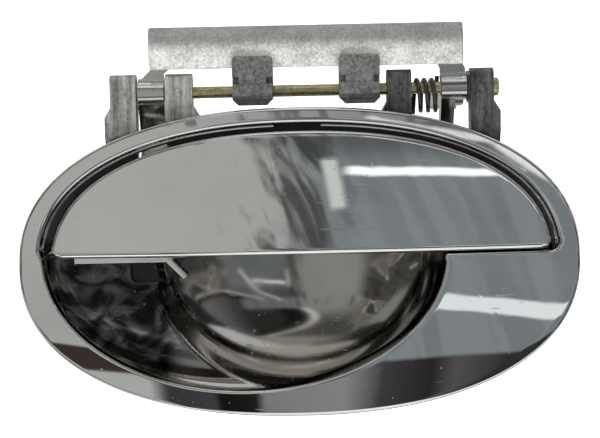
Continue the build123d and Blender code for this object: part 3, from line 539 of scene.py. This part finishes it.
def build_cup():
    """The cup's skin with the slot cut in it, its flange, the slot's tray and the studs' bosses."""
    skin = build_cup_skin()
    x0, x1, z0, z1 = SLOT
    slot = plate("slot_cutter", [rounded_rect(x0, x1, z0, z1, 2.0)], -6.0, SLOT_DEPTH)
    air = cavity()
    tray = plate("slot_tray", [rounded_rect(x0 - 2, x1 + 2, z0 - 2, z1 + 2, 3.0)],
                 FLANGE_Y[0], SLOT_DEPTH + 2)
    open_slot(skin)
    cut_away(tray, slot)
    cut_away(tray, air)
    for cutter in (slot, air):
        bpy.data.objects.remove(cutter)
    for piece in (skin, tray):
        piece.data.set_sharp_from_angle(angle=radians(50))
    hole = [(CUP_X + (CUP_HALF_X + 1) * cos(a),
             LIP_Z + ((BOWL_RISE if sin(a) > 0 else CUP_DROP) + 1) * sin(a))
            for a in [2 * pi * i / 180 for i in range(180)]]
    flange = plate("cup_flange", [oval_with_windows(FLANGE_HALF, WINDOWS, WINDOW_Z), hole[::-1]], *FLANGE_Y)
    bosses = []
    for x in STUDS:
        outlines = [circle_loop(x, STUD_Z, STUD_BOSS_R), circle_loop(x, STUD_Z, STUD_HOLE_R)[::-1]]
        bosses.append(plate("stud_boss", outlines, FLANGE_Y[0], STUD_BASE_Y))
    return join("finger_cup_shell", [skin, flange, tray] + bosses)


def softened(node, body, width, segments=2, angle=32):
    """The CAD node's shape with its sharp edges rounded over."""
    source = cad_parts[node]
    mesh = source.data.copy()
    obj = bpy.data.objects.new(node + "_cast", mesh)
    bpy.context.collection.objects.link(obj)
    mesh.materials.clear()
    bm = bmesh.new()
    bm.from_mesh(mesh)
    bmesh.ops.remove_doubles(bm, verts=bm.verts, dist=0.00002)
    bmesh.ops.dissolve_limit(bm, angle_limit=radians(1.5), verts=bm.verts, edges=bm.edges)
    sharp = [e for e in bm.edges if len(e.link_faces) == 2 and e.calc_face_angle(0) > radians(angle)]
    bmesh.ops.bevel(bm, geom=sharp, offset=width * MM, offset_type="OFFSET", segments=segments,
                    profile=0.5, affect="EDGES", clamp_overlap=True)
    face_out(bm)
    bm.to_mesh(mesh)
    bm.free()
    mesh.polygons.foreach_set("use_smooth", [True] * len(mesh.polygons))
    mesh.set_sharp_from_angle(angle=radians(46))
    weighted = obj.modifiers.new("even_shading", "WEIGHTED_NORMAL")
    weighted.keep_sharp = True
    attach(obj, body)
    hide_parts(node)
    return obj


def build_bar():
    """The counterweight: a cast bar with a rounded front, blunt at its ends."""
    low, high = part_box("counterweight_bar")
    x0, y0, z0 = (value / MM for value in low)
    x1, y1, z1 = (value / MM for value in high)
    crest = z0 + 0.36 * (z1 - z0)
    steps, length = 14, 36
    profile = []
    for k in range(steps + 1):
        z = z0 + (z1 - z0) * k / steps
        fall = (z - crest) / (z1 - crest) if z > crest else (crest - z) / (crest - z0) * 0.55
        profile.append((y0 + 2.6 * fall * fall, z))
    profile += [(y1, z1), (y1, z0)]
    count = len(profile)
    verts = []
    for i in range(length + 1):
        x = x0 + (x1 - x0) * i / length
        verts += [(x, y, z) for y, z in profile]
    faces = ring_faces(count, length + 1)
    faces += [tuple(range(count))[::-1], tuple(length * count + j for j in range(count))]
    bar = new_piece("counterweight_cast_bar", verts, faces, sharp=46)
    edge = bar.modifiers.new("blunt_edges", "BEVEL")
    edge.width, edge.segments, edge.limit_method, edge.angle_limit = 0.7 * MM, 3, "ANGLE", radians(40)
    return bar


def button(x, z, radius=1.5, height=1.0, front=EAR_FRONT, sides=32, steps=5):
    """A domed boss on the front of a bracket's ear."""
    verts = [(x + radius * cos(2 * pi * i / sides), front + 0.5, z + radius * sin(2 * pi * i / sides))
             for i in range(sides)]
    for k in range(steps):
        tilt = pi / 2 * k / steps
        verts += [(x + radius * cos(tilt) * cos(2 * pi * i / sides), front - height * sin(tilt),
                   z + radius * cos(tilt) * sin(2 * pi * i / sides)) for i in range(sides)]
    verts.append((x, front - height, z))
    faces = [tuple(range(sides))] + ring_faces(sides, steps + 1)
    faces += [(steps * sides + i, steps * sides + (i + 1) % sides, len(verts) - 1) for i in range(sides)]
    return new_piece("button", verts, faces)


def rod_wrap(x0, x1, bulge=0.9, half=2.7, front=-2.0, count=10):
    """The rounded band that shows where a hook wraps the rod."""
    profile = [(front - bulge * cos(radians(a)), ROD_Z + half * sin(radians(a)))
               for a in [-90 + 180 * k / count for k in range(count + 1)]]
    profile += [(front + 0.6, ROD_Z + half), (front + 0.6, ROD_Z - half)]
    total = len(profile)
    verts = [(x, y, z) for x in (x0 + 0.25, x1 - 0.25) for y, z in profile]
    faces = ring_faces(total, 2)
    faces += [tuple(range(total))[::-1], tuple(range(total, 2 * total))]
    return new_piece("rod_wrap", verts, faces)


# ---------------------------------------------------------------- materials
class Graph:
    """A short way to build a node tree."""

    def __init__(self, tree):
        self.tree = tree

    def node(self, kind, inputs=(), **props):
        made = self.tree.nodes.new(kind)
        for key, value in props.items():
            setattr(made, key, value)
        for key, value in dict(inputs).items():
            self.feed(made.inputs[key], value)
        return made

    def feed(self, socket, value):
        if isinstance(value, bpy.types.NodeSocket):
            self.tree.links.new(value, socket)
        else:
            socket.default_value = value

    def calc(self, operation, a, b=0.0, clamp=False):
        made = self.node("ShaderNodeMath", {0: a, 1: b}, operation=operation, use_clamp=clamp)
        return made.outputs[0]

    def ramp(self, value, stops):
        """Colour ramp; stops are (position, colour)."""
        made = self.node("ShaderNodeValToRGB", {0: value})
        elements = made.color_ramp.elements
        while len(elements) < len(stops):
            elements.new(0.5)
        for element, (position, colour) in zip(elements, stops):
            element.position = position
            element.color = (*colour, 1) if len(colour) == 3 else colour
        return made.outputs[0]

    def spread(self, value, low, high, out_low, out_high):
        made = self.node("ShaderNodeMapRange", {0: value, 1: low, 2: high, 3: out_low, 4: out_high})
        made.interpolation_type = "SMOOTHSTEP"
        return made.outputs[0]

    def mix(self, factor, a, b, blend="MIX"):
        made = self.node("ShaderNodeMix", data_type="RGBA", blend_type=blend)
        self.feed(made.inputs[0], factor)
        self.feed(made.inputs[6], a if isinstance(a, bpy.types.NodeSocket) else (*a, 1))
        self.feed(made.inputs[7], b if isinstance(b, bpy.types.NodeSocket) else (*b, 1))
        return made.outputs[2]

    def noise(self, place, scale, stretch=(1, 1, 1), detail=4.0, rough=0.55, warp=0.0):
        mapped = self.node("ShaderNodeMapping", {0: place, "Scale": stretch})
        made = self.node("ShaderNodeTexNoise", {"Vector": mapped.outputs[0], "Scale": scale, "Detail": detail,
                                                "Roughness": rough, "Distortion": warp})
        return made.outputs[0]


def new_material(name, metallic):
    material = bpy.data.materials.new(name)
    material.use_nodes = True
    graph = Graph(material.node_tree)
    shader = material.node_tree.nodes["Principled BSDF"]
    shader.inputs["Metallic"].default_value = metallic
    place = graph.node("ShaderNodeTexCoord").outputs["Object"]
    return material, graph, shader, place


def polished(name, colour, roughness, scratch=0.25, wave=0.06, dim=None):
    """Bright plating: hairline scratches, specks of dust and a faint waviness under a mirror finish; where
    dim is given, painted shade darkens the cup's left shelf.
    """
    material, graph, shader, place = new_material(name, 1.0)
    lines_a = graph.noise(place, 900.0, (0.03, 1, 1.0), detail=1.0)
    lines_b = graph.noise(place, 700.0, (1.0, 1, 0.05), detail=1.0, warp=0.4)
    hair = graph.calc("MAXIMUM", graph.spread(lines_a, 0.70, 0.76, 0, 1),
                      graph.spread(lines_b, 0.72, 0.78, 0, 1))
    where = graph.spread(graph.noise(place, 22.0), 0.45, 0.62, 0, 1)
    hair = graph.calc("MULTIPLY", hair, where)
    specks = graph.spread(graph.noise(place, 900.0, detail=0.0), 0.82, 0.86, 0, 1)
    marks = graph.calc("MAXIMUM", hair, specks, clamp=True)
    cloud = graph.noise(place, 40.0, detail=6.0)
    shade = graph.ramp(cloud, [(0.3, tuple(c * 0.95 for c in colour)), (0.7, colour)])
    if dim:
        # painted shade: from dim's span leftward and inside the cup's oval the colour falls in patches
        # towards near black, standing in for the shelf's dark reflections
        along, _, height = graph.node("ShaderNodeSeparateXYZ", {0: place}).outputs
        reach = []
        for value, centre, half in ((along, CUP_X, CUP_HALF_X), (height, LIP_Z, CUP_DROP)):
            offset = graph.calc("SUBTRACT", value, centre * MM)
            reach.append(graph.calc("POWER", graph.calc("DIVIDE", offset, half * MM), 2.0))
        inside = graph.spread(graph.calc("ADD", *reach), 0.97, 1.0, 1, 0)
        shelf_shade_noise = graph.noise(place, 90.0, (1, 1, 1.5), detail=2.0, warp=1.0)
        painted_shelf_shade = graph.calc("MULTIPLY", graph.calc("MULTIPLY", graph.spread(along, *dim, 1, 0), inside),
                           graph.spread(shelf_shade_noise, 0.38, 0.66, 0.99, 0.62))
        shade = graph.mix(painted_shelf_shade, shade, (0.02, 0.02, 0.02))
    marked = graph.mix(graph.calc("MULTIPLY", marks, 0.35), shade, (0.75, 0.75, 0.73))
    graph.feed(shader.inputs["Base Color"], marked)
    haze = graph.spread(cloud, 0.35, 0.75, roughness * 0.7, roughness * 1.4)
    graph.feed(shader.inputs["Roughness"], graph.calc("ADD", haze, graph.calc("MULTIPLY", marks, scratch)))
    ripple = graph.noise(place, 26.0, detail=1.0)
    bump = graph.node("ShaderNodeBump", {"Strength": wave, "Distance": 0.002, "Height": ripple})
    graph.feed(shader.inputs["Normal"], bump.outputs[0])
    return material


def cast_metal(name, dark, light, roughness, grain=260.0, stretch=(1, 1, 1), relief=0.25, streak=0.0,
               metallic=0.7, shade=None):
    """Raw or worn metal: mottled tone, fine grain and, where asked, upright streaks and painted shade that
    darkens it by height.
    """
    material, graph, shader, place = new_material(name, metallic)
    mottled = graph.noise(place, grain * 0.25, stretch, detail=8.0, rough=0.7)
    fine = graph.noise(place, grain * 2.5, detail=3.0, rough=0.8)
    tone = graph.calc("ADD", graph.calc("MULTIPLY", mottled, 0.45), graph.calc("MULTIPLY", fine, 0.55))
    if streak:
        upright = graph.noise(place, grain * 1.6, (1.0, 0.6, 0.06), detail=6.0, rough=0.65, warp=0.3)
        tone = graph.calc("ADD", graph.calc("MULTIPLY", tone, 1 - streak),
                          graph.calc("MULTIPLY", upright, streak))
    middle = tuple((a + b) / 2 for a, b in zip(dark, light))
    colour = graph.ramp(tone, [(0.40, dark), (0.5, middle), (0.59, light)])
    if shade:
        # painted shade: across the height range given by shade the colour runs towards a deep copy of the
        # dark tone
        height = graph.node("ShaderNodeSeparateXYZ", {0: place}).outputs[2]
        deep = tuple(value * 0.36 for value in dark)
        colour = graph.mix(graph.spread(height, *shade, 0, 0.75), colour, deep)
    graph.feed(shader.inputs["Base Color"], colour)
    graph.feed(shader.inputs["Roughness"], graph.spread(tone, 0.35, 0.65, roughness * 1.25, roughness * 0.8))
    bump = graph.node("ShaderNodeBump", {"Strength": relief, "Distance": 0.0002, "Height": tone})
    graph.feed(shader.inputs["Normal"], bump.outputs[0])
    return material


def moulded(name, dark, light, roughness, grain=900.0, relief=0.15):
    """Rubber or plastic with a fine moulded texture."""
    material, graph, shader, place = new_material(name, 0.0)
    cloud = graph.noise(place, 60.0, detail=6.0)
    fine = graph.noise(place, grain, detail=2.0)
    graph.feed(shader.inputs["Base Color"], graph.ramp(cloud, [(0.3, dark), (0.7, light)]))
    graph.feed(shader.inputs["Roughness"], graph.spread(fine, 0.3, 0.7, roughness * 0.85, roughness * 1.1))
    bump = graph.node("ShaderNodeBump", {"Strength": relief, "Distance": 0.0002, "Height": fine})
    graph.feed(shader.inputs["Normal"], bump.outputs[0])
    return material


chrome = polished("chrome", (0.88, 0.885, 0.89), 0.03)
# the cup's chrome is darker than the bezel's: painted shade for the recessed bowl
cup_chrome = polished("cup_chrome", (0.50, 0.487, 0.47), 0.11, wave=0.14, dim=(-0.047, -0.038))
# near-black chrome for the slot's walls: painted shade in the recess
slot_shaded_chrome = polished("slot_shaded_chrome", (0.07, 0.068, 0.065), 0.16, wave=0.10)
arm_chrome = polished("arm_chrome", (0.72, 0.72, 0.71), 0.14, wave=0.2)
# one bracket casting in a lit and a shaded copy: the left is painted lighter and the right darker, as painted
# light and shade
lit_left_bracket_metal = cast_metal("lit_left_bracket_casting", (0.22, 0.225, 0.21), (0.74, 0.76, 0.72), 0.36,
                                streak=0.6)
shaded_right_bracket_metal = cast_metal("shaded_right_bracket_casting", (0.04, 0.04, 0.038), (0.26, 0.26, 0.25), 0.30,
                                 streak=0.5)
# the bar's top is painted darker: painted shade by height
bar_metal = cast_metal("bar_zinc", (0.42, 0.43, 0.42), (0.97, 0.97, 0.94), 0.46, grain=420.0, relief=0.8,
                       metallic=0.35, shade=(0.0712, 0.0760))
# the hook's lower part, under the rod, is painted darker: painted shade by height
hook_metal = cast_metal("hook_zinc", (0.12, 0.122, 0.118), (0.38, 0.385, 0.37), 0.48, grain=340.0, relief=0.4,
                        shade=(0.0572, 0.0562))
rod_metal = cast_metal("rod_plating", (0.26, 0.22, 0.10), (0.62, 0.56, 0.34), 0.2, grain=200.0,
                       stretch=(0.1, 1, 1), relief=0.05)
spring_metal = cast_metal("spring_steel", (0.02, 0.02, 0.02), (0.14, 0.14, 0.13), 0.28, grain=500.0)
screw_metal = cast_metal("screw_steel", (0.30, 0.30, 0.29), (0.62, 0.62, 0.60), 0.32, grain=400.0)
stud_metal = cast_metal("stud_steel", (0.42, 0.38, 0.26), (0.72, 0.68, 0.50), 0.30, grain=400.0)
dark_steel = cast_metal("dark_steel", (0.08, 0.08, 0.085), (0.28, 0.28, 0.28), 0.35, grain=300.0)
crank_metal = cast_metal("crank_steel", (0.30, 0.29, 0.24), (0.62, 0.60, 0.50), 0.33, grain=240.0)
rubber = moulded("rubber", (0.012, 0.012, 0.012), (0.03, 0.03, 0.03), 0.75)
black_plastic = moulded("black_plastic", (0.015, 0.015, 0.016), (0.035, 0.035, 0.036), 0.45)
pale_plastic = moulded("pale_plastic", (0.60, 0.58, 0.50), (0.72, 0.70, 0.63), 0.45)


def dress(obj, material):
    obj.data.materials.clear()
    obj.data.materials.append(material)


# ---------------------------------------------------------------- pieces
bezel = build_bezel()
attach(bezel, "housing")
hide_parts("bezel")
dress(bezel, chrome)
bezel.data.materials.append(rubber)
for face in bezel.data.polygons:
    x, y, z = (value / MM for value in face.center)
    if y > SEAL_Y - 0.2 and z > LIP_Z and (x / OPENING_HALF[0]) ** 2 + (z / OPENING_HALF[1]) ** 2 < 1.1:
        face.material_index = 1

flap = build_paddle()
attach(flap, "flap")
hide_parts("paddle")
dress(flap, chrome)

cup = build_cup()
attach(cup, "housing")
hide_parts("finger_cup")
dress(cup, cup_chrome)
# the slot's walls take the near-black chrome: painted shade in the recess
cup.data.materials.append(slot_shaded_chrome)
for face in cup.data.polygons:
    x, y, z = (value / MM for value in face.center)
    in_slot = SLOT[0] - 0.1 < x < SLOT[1] + 0.1 and SLOT[2] - 0.1 < z < SLOT[3]
    if in_slot and cup_depth(x, z) + 0.3 < y < SLOT_DEPTH + 0.1:
        face.material_index = 1

SOFT_CASTINGS = {
    "hinge_bracket_left": ("housing", 0.5, lit_left_bracket_metal, "bracket_casting"),
    "hinge_bracket_right": ("housing", 0.5, shaded_right_bracket_metal, "bracket_casting"),
    "hinge_arm_left": ("flap", 0.5, arm_chrome, "chrome_arm"),
    "hinge_arm_right": ("flap", 0.5, arm_chrome, "chrome_arm"),
    "guide_leg": ("flap", 0.3, chrome, "chrome_leg"),
    "counterweight_hook_left": ("flap", 0.5, hook_metal, "zinc_hook"),
    "counterweight_hook_right": ("flap", 0.5, hook_metal, "zinc_hook"),
}
for node, (body, width, material, slot) in SOFT_CASTINGS.items():
    piece = softened(node, body, width)
    if node in EAR_CENTRES:
        piece = join(piece.name, [piece] + [button(x, ROD_Z) for x in EAR_CENTRES[node]])
    if node in HOOK_SPANS:
        piece = join(piece.name, [piece, rod_wrap(*HOOK_SPANS[node])])
    dress(piece, material)

bar = build_bar()
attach(bar, "flap")
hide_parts("counterweight_bar")
dress(bar, bar_metal)

CAD_LOOKS = {
    "door_gasket": rubber, "bezel_screws": screw_metal, "mounting_studs": stud_metal, "bump_stops": rubber,
    "bracket_screws": screw_metal, "hinge_rod": rod_metal, "rod_retaining_ring": dark_steel,
    "thrust_washer": black_plastic, "torsion_spring": spring_metal, "crank_pin": screw_metal,
    "crank_retaining_ring": dark_steel, "barrel_bushes": black_plastic, "arm_screws": screw_metal,
    "lug_screws": screw_metal, "hook_screws": screw_metal, "latch_crank": crank_metal,
    "latch_rod_clip": pale_plastic,
}
for node, material in CAD_LOOKS.items():
    dress(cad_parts[node], material)


# ---------------------------------------------------------------- stage, camera and light
def build_stage():
    """A pale floor that curves up into a backdrop behind the object."""
    profile = [(-0.05, -0.25), (0.5, -0.25)]
    profile += [(0.5 + 0.5 * sin(radians(a)), 0.25 - 0.5 * cos(radians(a))) for a in range(5, 91, 5)]
    profile.append((1.0, 1.6))
    mesh = bpy.data.meshes.new("studio_floor")
    verts = [(x, y, z) for y, z in profile for x in (-2.2, 2.2)]
    faces = [(2 * i, 2 * i + 1, 2 * i + 3, 2 * i + 2) for i in range(len(profile) - 1)]
    mesh.from_pydata(verts, [], faces)
    mesh.polygons.foreach_set("use_smooth", [True] * len(faces))
    stage = bpy.data.objects.new("studio_floor", mesh)
    bpy.context.collection.objects.link(stage)
    material, graph, shader, place = new_material("pale_floor", 0.0)
    cloud = graph.noise(place, 3.0)
    tone = graph.ramp(cloud, [(0.3, (0.80, 0.80, 0.80)), (0.7, (0.84, 0.84, 0.84))])
    mirrored = graph.node("ShaderNodeLightPath").outputs["Is Glossy Ray"]
    graph.feed(shader.inputs["Base Color"], graph.mix(mirrored, tone, (0.42, 0.42, 0.42)))
    shader.inputs["Roughness"].default_value = 0.9
    shader.inputs["Emission Color"].default_value = (1, 1, 1, 1)
    seen = graph.node("ShaderNodeLightPath").outputs["Is Camera Ray"]
    graph.feed(shader.inputs["Emission Strength"], graph.calc("MULTIPLY", seen, 0.72))
    mesh.materials.append(material)


build_stage()


# long lamps as (start, end, half width, colour), where start and end are turn and rise in degrees
LAMPS = (
    ((4.0, 12.2), (18.5, 11.0), 0.75, (1.2, 1.2, 1.2)),
    ((6.0, 22.5), (17.0, 16.8), 0.6, (0.75, 0.75, 0.74)),
    ((17.0, 16.8), (24.0, 5.0), 0.8, (0.85, 0.85, 0.84)),
    ((10.0, -13.6), (26.0, -17.2), 1.5, (0.80, 0.84, 0.84)),
    ((2.4, 14.5), (3.2, 5.0), 0.7, (0.60, 0.62, 0.58)),
    ((-100, 50), (150, 50), 2.2, (0.42, 0.36, 0.28)),
    ((-100, 55.5), (150, 55.5), 0.8, (0.30, 0.26, 0.2)),
    ((-175, -57.5), (175, -57.5), 0.6, (0.05, 0.045, 0.04)),
    ((-175, -62), (175, -62), 3.0, (0.80, 0.69, 0.56)),
    ((-175, -70), (175, -70), 2.2, (2.2, 2.15, 2.05)),
    ((-175, -76), (175, -76), 1.0, (0.06, 0.055, 0.05)),
)


class Room(Graph):
    """The world's node tree, with the turn and the rise of a direction in degrees."""

    def __init__(self, tree):
        super().__init__(tree)
        self.direction = self.node("ShaderNodeTexCoord").outputs["Generated"]
        x, self.inward, z = self.node("ShaderNodeSeparateXYZ", {0: self.direction}).outputs
        outward = self.calc("MULTIPLY", self.inward, -1.0)
        self.turn = self.calc("MULTIPLY", self.calc("ARCTAN2", x, outward), 180 / pi)
        self.rise = self.calc("MULTIPLY", self.calc("ARCSINE", z), 180 / pi)
        self.slant = self.calc("ADD", self.turn, self.calc("MULTIPLY", self.rise, 0.16))
        low_rise = self.calc("MULTIPLY", self.rise, 0.09)
        self.place = self.node("ShaderNodeCombineXYZ", {0: self.slant, 1: low_rise}).outputs[0]
        self.folds = self.noise(self.place, 0.50, detail=3.0, rough=0.6, warp=0.7)

    def band(self, value, low, high, soft):
        """1 between low and high, with soft ends."""
        up = self.spread(value, low - soft, low + soft, 0, 1)
        down = self.spread(value, high - soft, high + soft, 1, 0)
        return self.calc("MULTIPLY", up, down)


def walls(room):
    """A pale wall on the left and a cool dim one on the right, with hanging folds between them."""
    wavy = room.noise(room.direction, 3.0, (1, 1, 1), detail=3.0, warp=1.5)
    drift = room.calc("MULTIPLY", room.calc("SUBTRACT", wavy, 0.5), 14.0)
    bent = room.calc("ADD", room.turn, drift)
    colour = room.mix(room.spread(bent, -3.0, 3.5, 0, 1), (0.42, 0.425, 0.40), (0.175, 0.195, 0.205))
    cloud = room.noise(room.direction, 2.2, detail=5.0)
    colour = room.mix(room.spread(cloud, 0.35, 0.65, 0.0, 0.30), colour, (0.27, 0.28, 0.275))
    # hanging folds between the two walls
    shade = room.calc("MULTIPLY", room.band(bent, -4.0, 5.5, 1.6), room.spread(room.folds, 0.40, 0.58, 1, 0))
    colour = room.mix(room.calc("MULTIPLY", shade, 0.85), colour, (0.04, 0.04, 0.036))
    # the right wall is darker above, and panelled
    panels = room.spread(room.noise(room.place, 0.30, (1, 0.4, 1), detail=2.0), 0.46, 0.54, 0, 0.35)
    panelled = room.calc("MULTIPLY", room.band(room.turn, 3, 60, 2), panels)
    colour = room.mix(panelled, colour, (0.30, 0.33, 0.345))
    upper_right = room.calc("MULTIPLY", room.band(room.turn, 2, 70, 3),
                            room.spread(room.rise, 12.5, 18, 0, 0.6))
    colour = room.mix(upper_right, colour, (0.05, 0.052, 0.052))
    return colour


def ceiling_and_ground(room, colour):
    """A dark ceiling, a floor in patches, and brightness well above and well below."""
    colour = room.mix(room.spread(room.rise, 25, 38, 0, 0.86), colour, (0.045, 0.045, 0.042))
    spots = room.calc("DIVIDE", room.calc("ADD", room.turn, 30.0), 60.0)
    ground = room.ramp(spots, [
        (0.0, (0.40, 0.41, 0.39)), (0.27, (0.42, 0.43, 0.41)), (0.29, (0.035, 0.036, 0.038)),
        (0.36, (0.05, 0.052, 0.055)), (0.37, (0.008, 0.008, 0.007)), (0.43, (0.012, 0.012, 0.01)),
        (0.445, (0.20, 0.205, 0.21)), (0.56, (0.24, 0.245, 0.25)), (0.62, (0.05, 0.046, 0.05)),
        (0.70, (0.02, 0.018, 0.018)), (0.73, (0.09, 0.085, 0.08)), (0.80, (0.03, 0.03, 0.03))])
    horizon = room.calc("SUBTRACT", room.rise, room.calc("MULTIPLY", room.slant, 0.12))
    colour = room.mix(room.spread(horizon, -25.5, -26.5, 0, 1), colour, ground)
    sloping = room.calc("ADD", room.rise, room.calc("MULTIPLY", room.turn, 0.35))
    brown = room.calc("MULTIPLY", room.band(sloping, -32.4, -28.0, 0.3), room.band(room.turn, -60, -11, 1.5))
    colour = room.mix(brown, colour, (0.045, 0.032, 0.028))
    near = room.mix(room.spread(room.turn, -14, -6, 0, 1), (0.03, 0.03, 0.03), (0.92, 0.92, 0.92))
    colour = room.mix(room.band(room.rise, -53, -38.5, 1.0), colour, near)
    # well above and well below it is bright again
    colour = room.mix(room.spread(room.rise, 57, 60, 0, 1), colour, (0.85, 0.86, 0.87))
    colour = room.mix(room.spread(room.rise, -52, -54, 0, 1), colour, (0.90, 0.90, 0.89))
    return colour


def sides(room, colour):
    """To the sides the room is dark, with long pale streaks."""
    to_sides = room.spread(room.calc("ABSOLUTE", room.turn), 26, 36, 0, 1)
    flow = room.noise(room.direction, 1.5, (1.0, 1.0, 2.2), detail=4.0, rough=0.5, warp=1.6)
    streaks = room.ramp(flow, [
        (0.36, (0.02, 0.02, 0.02)), (0.44, (0.10, 0.10, 0.095)), (0.47, (0.02, 0.02, 0.02)),
        (0.52, (0.05, 0.05, 0.048)), (0.545, (0.80, 0.76, 0.68)), (0.565, (0.04, 0.04, 0.04)),
        (0.62, (0.32, 0.29, 0.25)), (0.68, (0.03, 0.03, 0.03))])
    low = room.spread(room.rise, -22, -12, 0, 1)
    colour = room.mix(room.calc("MULTIPLY", room.calc("MULTIPLY", to_sides, low), 0.9), colour, streaks)
    return colour


def overhead(room, colour):
    """A dark opening overhead with a bright edge."""
    across = room.calc("ABSOLUTE", room.calc("DIVIDE", room.calc("SUBTRACT", room.turn, 36.0), 44.0))
    upward = room.calc("ABSOLUTE", room.calc("DIVIDE", room.calc("SUBTRACT", room.rise, 34.0), 17.0))
    reach = room.calc("ADD", across, room.calc("POWER", upward, 2.0))
    hatch = room.mix(room.spread(room.turn, 20, 55, 0, 1), (0.035, 0.035, 0.033), (0.24, 0.24, 0.24))
    colour = room.mix(room.spread(reach, 0.96, 1.02, 1, 0), colour, hatch)
    colour = room.mix(room.band(reach, 0.72, 0.99, 0.06), colour, (0.008, 0.008, 0.008))
    colour = room.mix(room.band(reach, 1.0, 1.10, 0.03), colour, (0.85, 0.84, 0.80))
    return colour


def front_panel(room, colour):
    """A pale panel in front, above the flap."""
    panel = room.calc("MULTIPLY", room.band(room.turn, -32, 26, 3.0), room.band(room.rise, 21.2, 27.5, 0.6))
    shine = room.mix(room.spread(room.turn, -12, 12, 0, 1), (0.40, 0.405, 0.40), (0.25, 0.255, 0.27))
    patches = room.spread(room.folds, 0.40, 0.48, 0.75, 0)
    colour = room.mix(panel, colour, room.mix(patches, shine, (0.10, 0.10, 0.09)))
    return colour


def lamp(room, colour, height, start, end, width, tint):
    """A long lamp from start to end, as turn and rise in degrees."""
    run, up = end[0] - start[0], end[1] - start[1]
    length = sqrt(run ** 2 + up ** 2)
    dx = room.calc("SUBTRACT", room.turn, start[0])
    dz = room.calc("SUBTRACT", height, start[1])
    along = room.calc("ADD", room.calc("MULTIPLY", dx, run / length), room.calc("MULTIPLY", dz, up / length))
    aside = room.calc("SUBTRACT", room.calc("MULTIPLY", dz, run / length),
                      room.calc("MULTIPLY", dx, up / length))
    mask = room.calc("MULTIPLY", room.band(along, 0, length, 0.7), room.band(aside, -width, width, 0.35))
    return room.mix(mask, colour, tint)


def lamps(room, colour):
    """All the lamps, with edges that ripple a little."""
    waves = room.noise(room.direction, 16.0, detail=2.0)
    ripple = room.calc("MULTIPLY", room.calc("SUBTRACT", waves, 0.5), 1.1)
    height = room.calc("ADD", room.rise, ripple)
    for start, end, width, tint in LAMPS:
        colour = lamp(room, colour, height, start, end, width, tint)
    return colour


def build_world():
    """The room that the chrome mirrors and that lights the object."""
    world = bpy.data.worlds.new("studio")
    bpy.context.scene.world = world
    world.use_nodes = True
    room = Room(world.node_tree)
    background = world.node_tree.nodes["Background"]
    colour = walls(room)
    for part in (ceiling_and_ground, sides, overhead, front_panel, lamps):
        colour = part(room, colour)
    # behind the object the room is pale
    colour = room.mix(room.spread(room.inward, 0.0, 0.25, 0, 1), colour, (0.90, 0.91, 0.92))
    seen = room.node("ShaderNodeLightPath").outputs["Is Camera Ray"]
    colour = room.mix(seen, colour, (1.0, 1.0, 1.0))
    room.feed(background.inputs["Color"], colour)
    background.inputs["Strength"].default_value = 1.0


build_world()


def add_camera():
    """A long lens in front of the handle and a little above it, rolled by just over a degree."""
    centre = Vector((0.0004, 0.0, 0.0146))
    camera_data = bpy.data.cameras.new("camera")
    camera_data.lens, camera_data.sensor_width = 110.0, 36.0
    camera = bpy.data.objects.new("camera", camera_data)
    bpy.context.collection.objects.link(camera)
    camera.location = (0.0004, -0.62, 0.0646)
    look = (centre - camera.location).to_track_quat("-Z", "Y")
    camera.rotation_euler = (look.to_matrix() @ Matrix.Rotation(radians(-1.2), 3, "Z")).to_euler()
    bpy.context.scene.camera = camera


add_camera()


def area_light(name, place, target, size, power, colour=(1, 1, 1)):
    data = bpy.data.lights.new(name, "AREA")
    data.shape, data.size, data.size_y, data.energy, data.color = "RECTANGLE", size[0], size[1], power, colour
    lamp = bpy.data.objects.new(name, data)
    bpy.context.collection.objects.link(lamp)
    lamp.location = place
    lamp.visible_glossy = False
    lamp.rotation_euler = (Vector(target) - Vector(place)).to_track_quat("-Z", "Y").to_euler()
    return lamp


area_light("top_softbox", (-0.25, -0.55, 1.0), (0, 0, 0.03), (0.9, 0.35), 9.5)
area_light("left_softbox", (-1.1, -0.35, 0.35), (0, 0, 0.03), (0.35, 0.6), 6.0)
area_light("low_softbox", (0, -0.60, -0.62), (0, 0, 0.03), (1.0, 0.30), 9.0)
area_light("back_softbox", (0.3, 0.9, 0.75), (0, 0, 0.03), (0.8, 0.5), 6.0)
# with plain tones a white ground stays white
bpy.context.scene.view_settings.view_transform = "Standard"
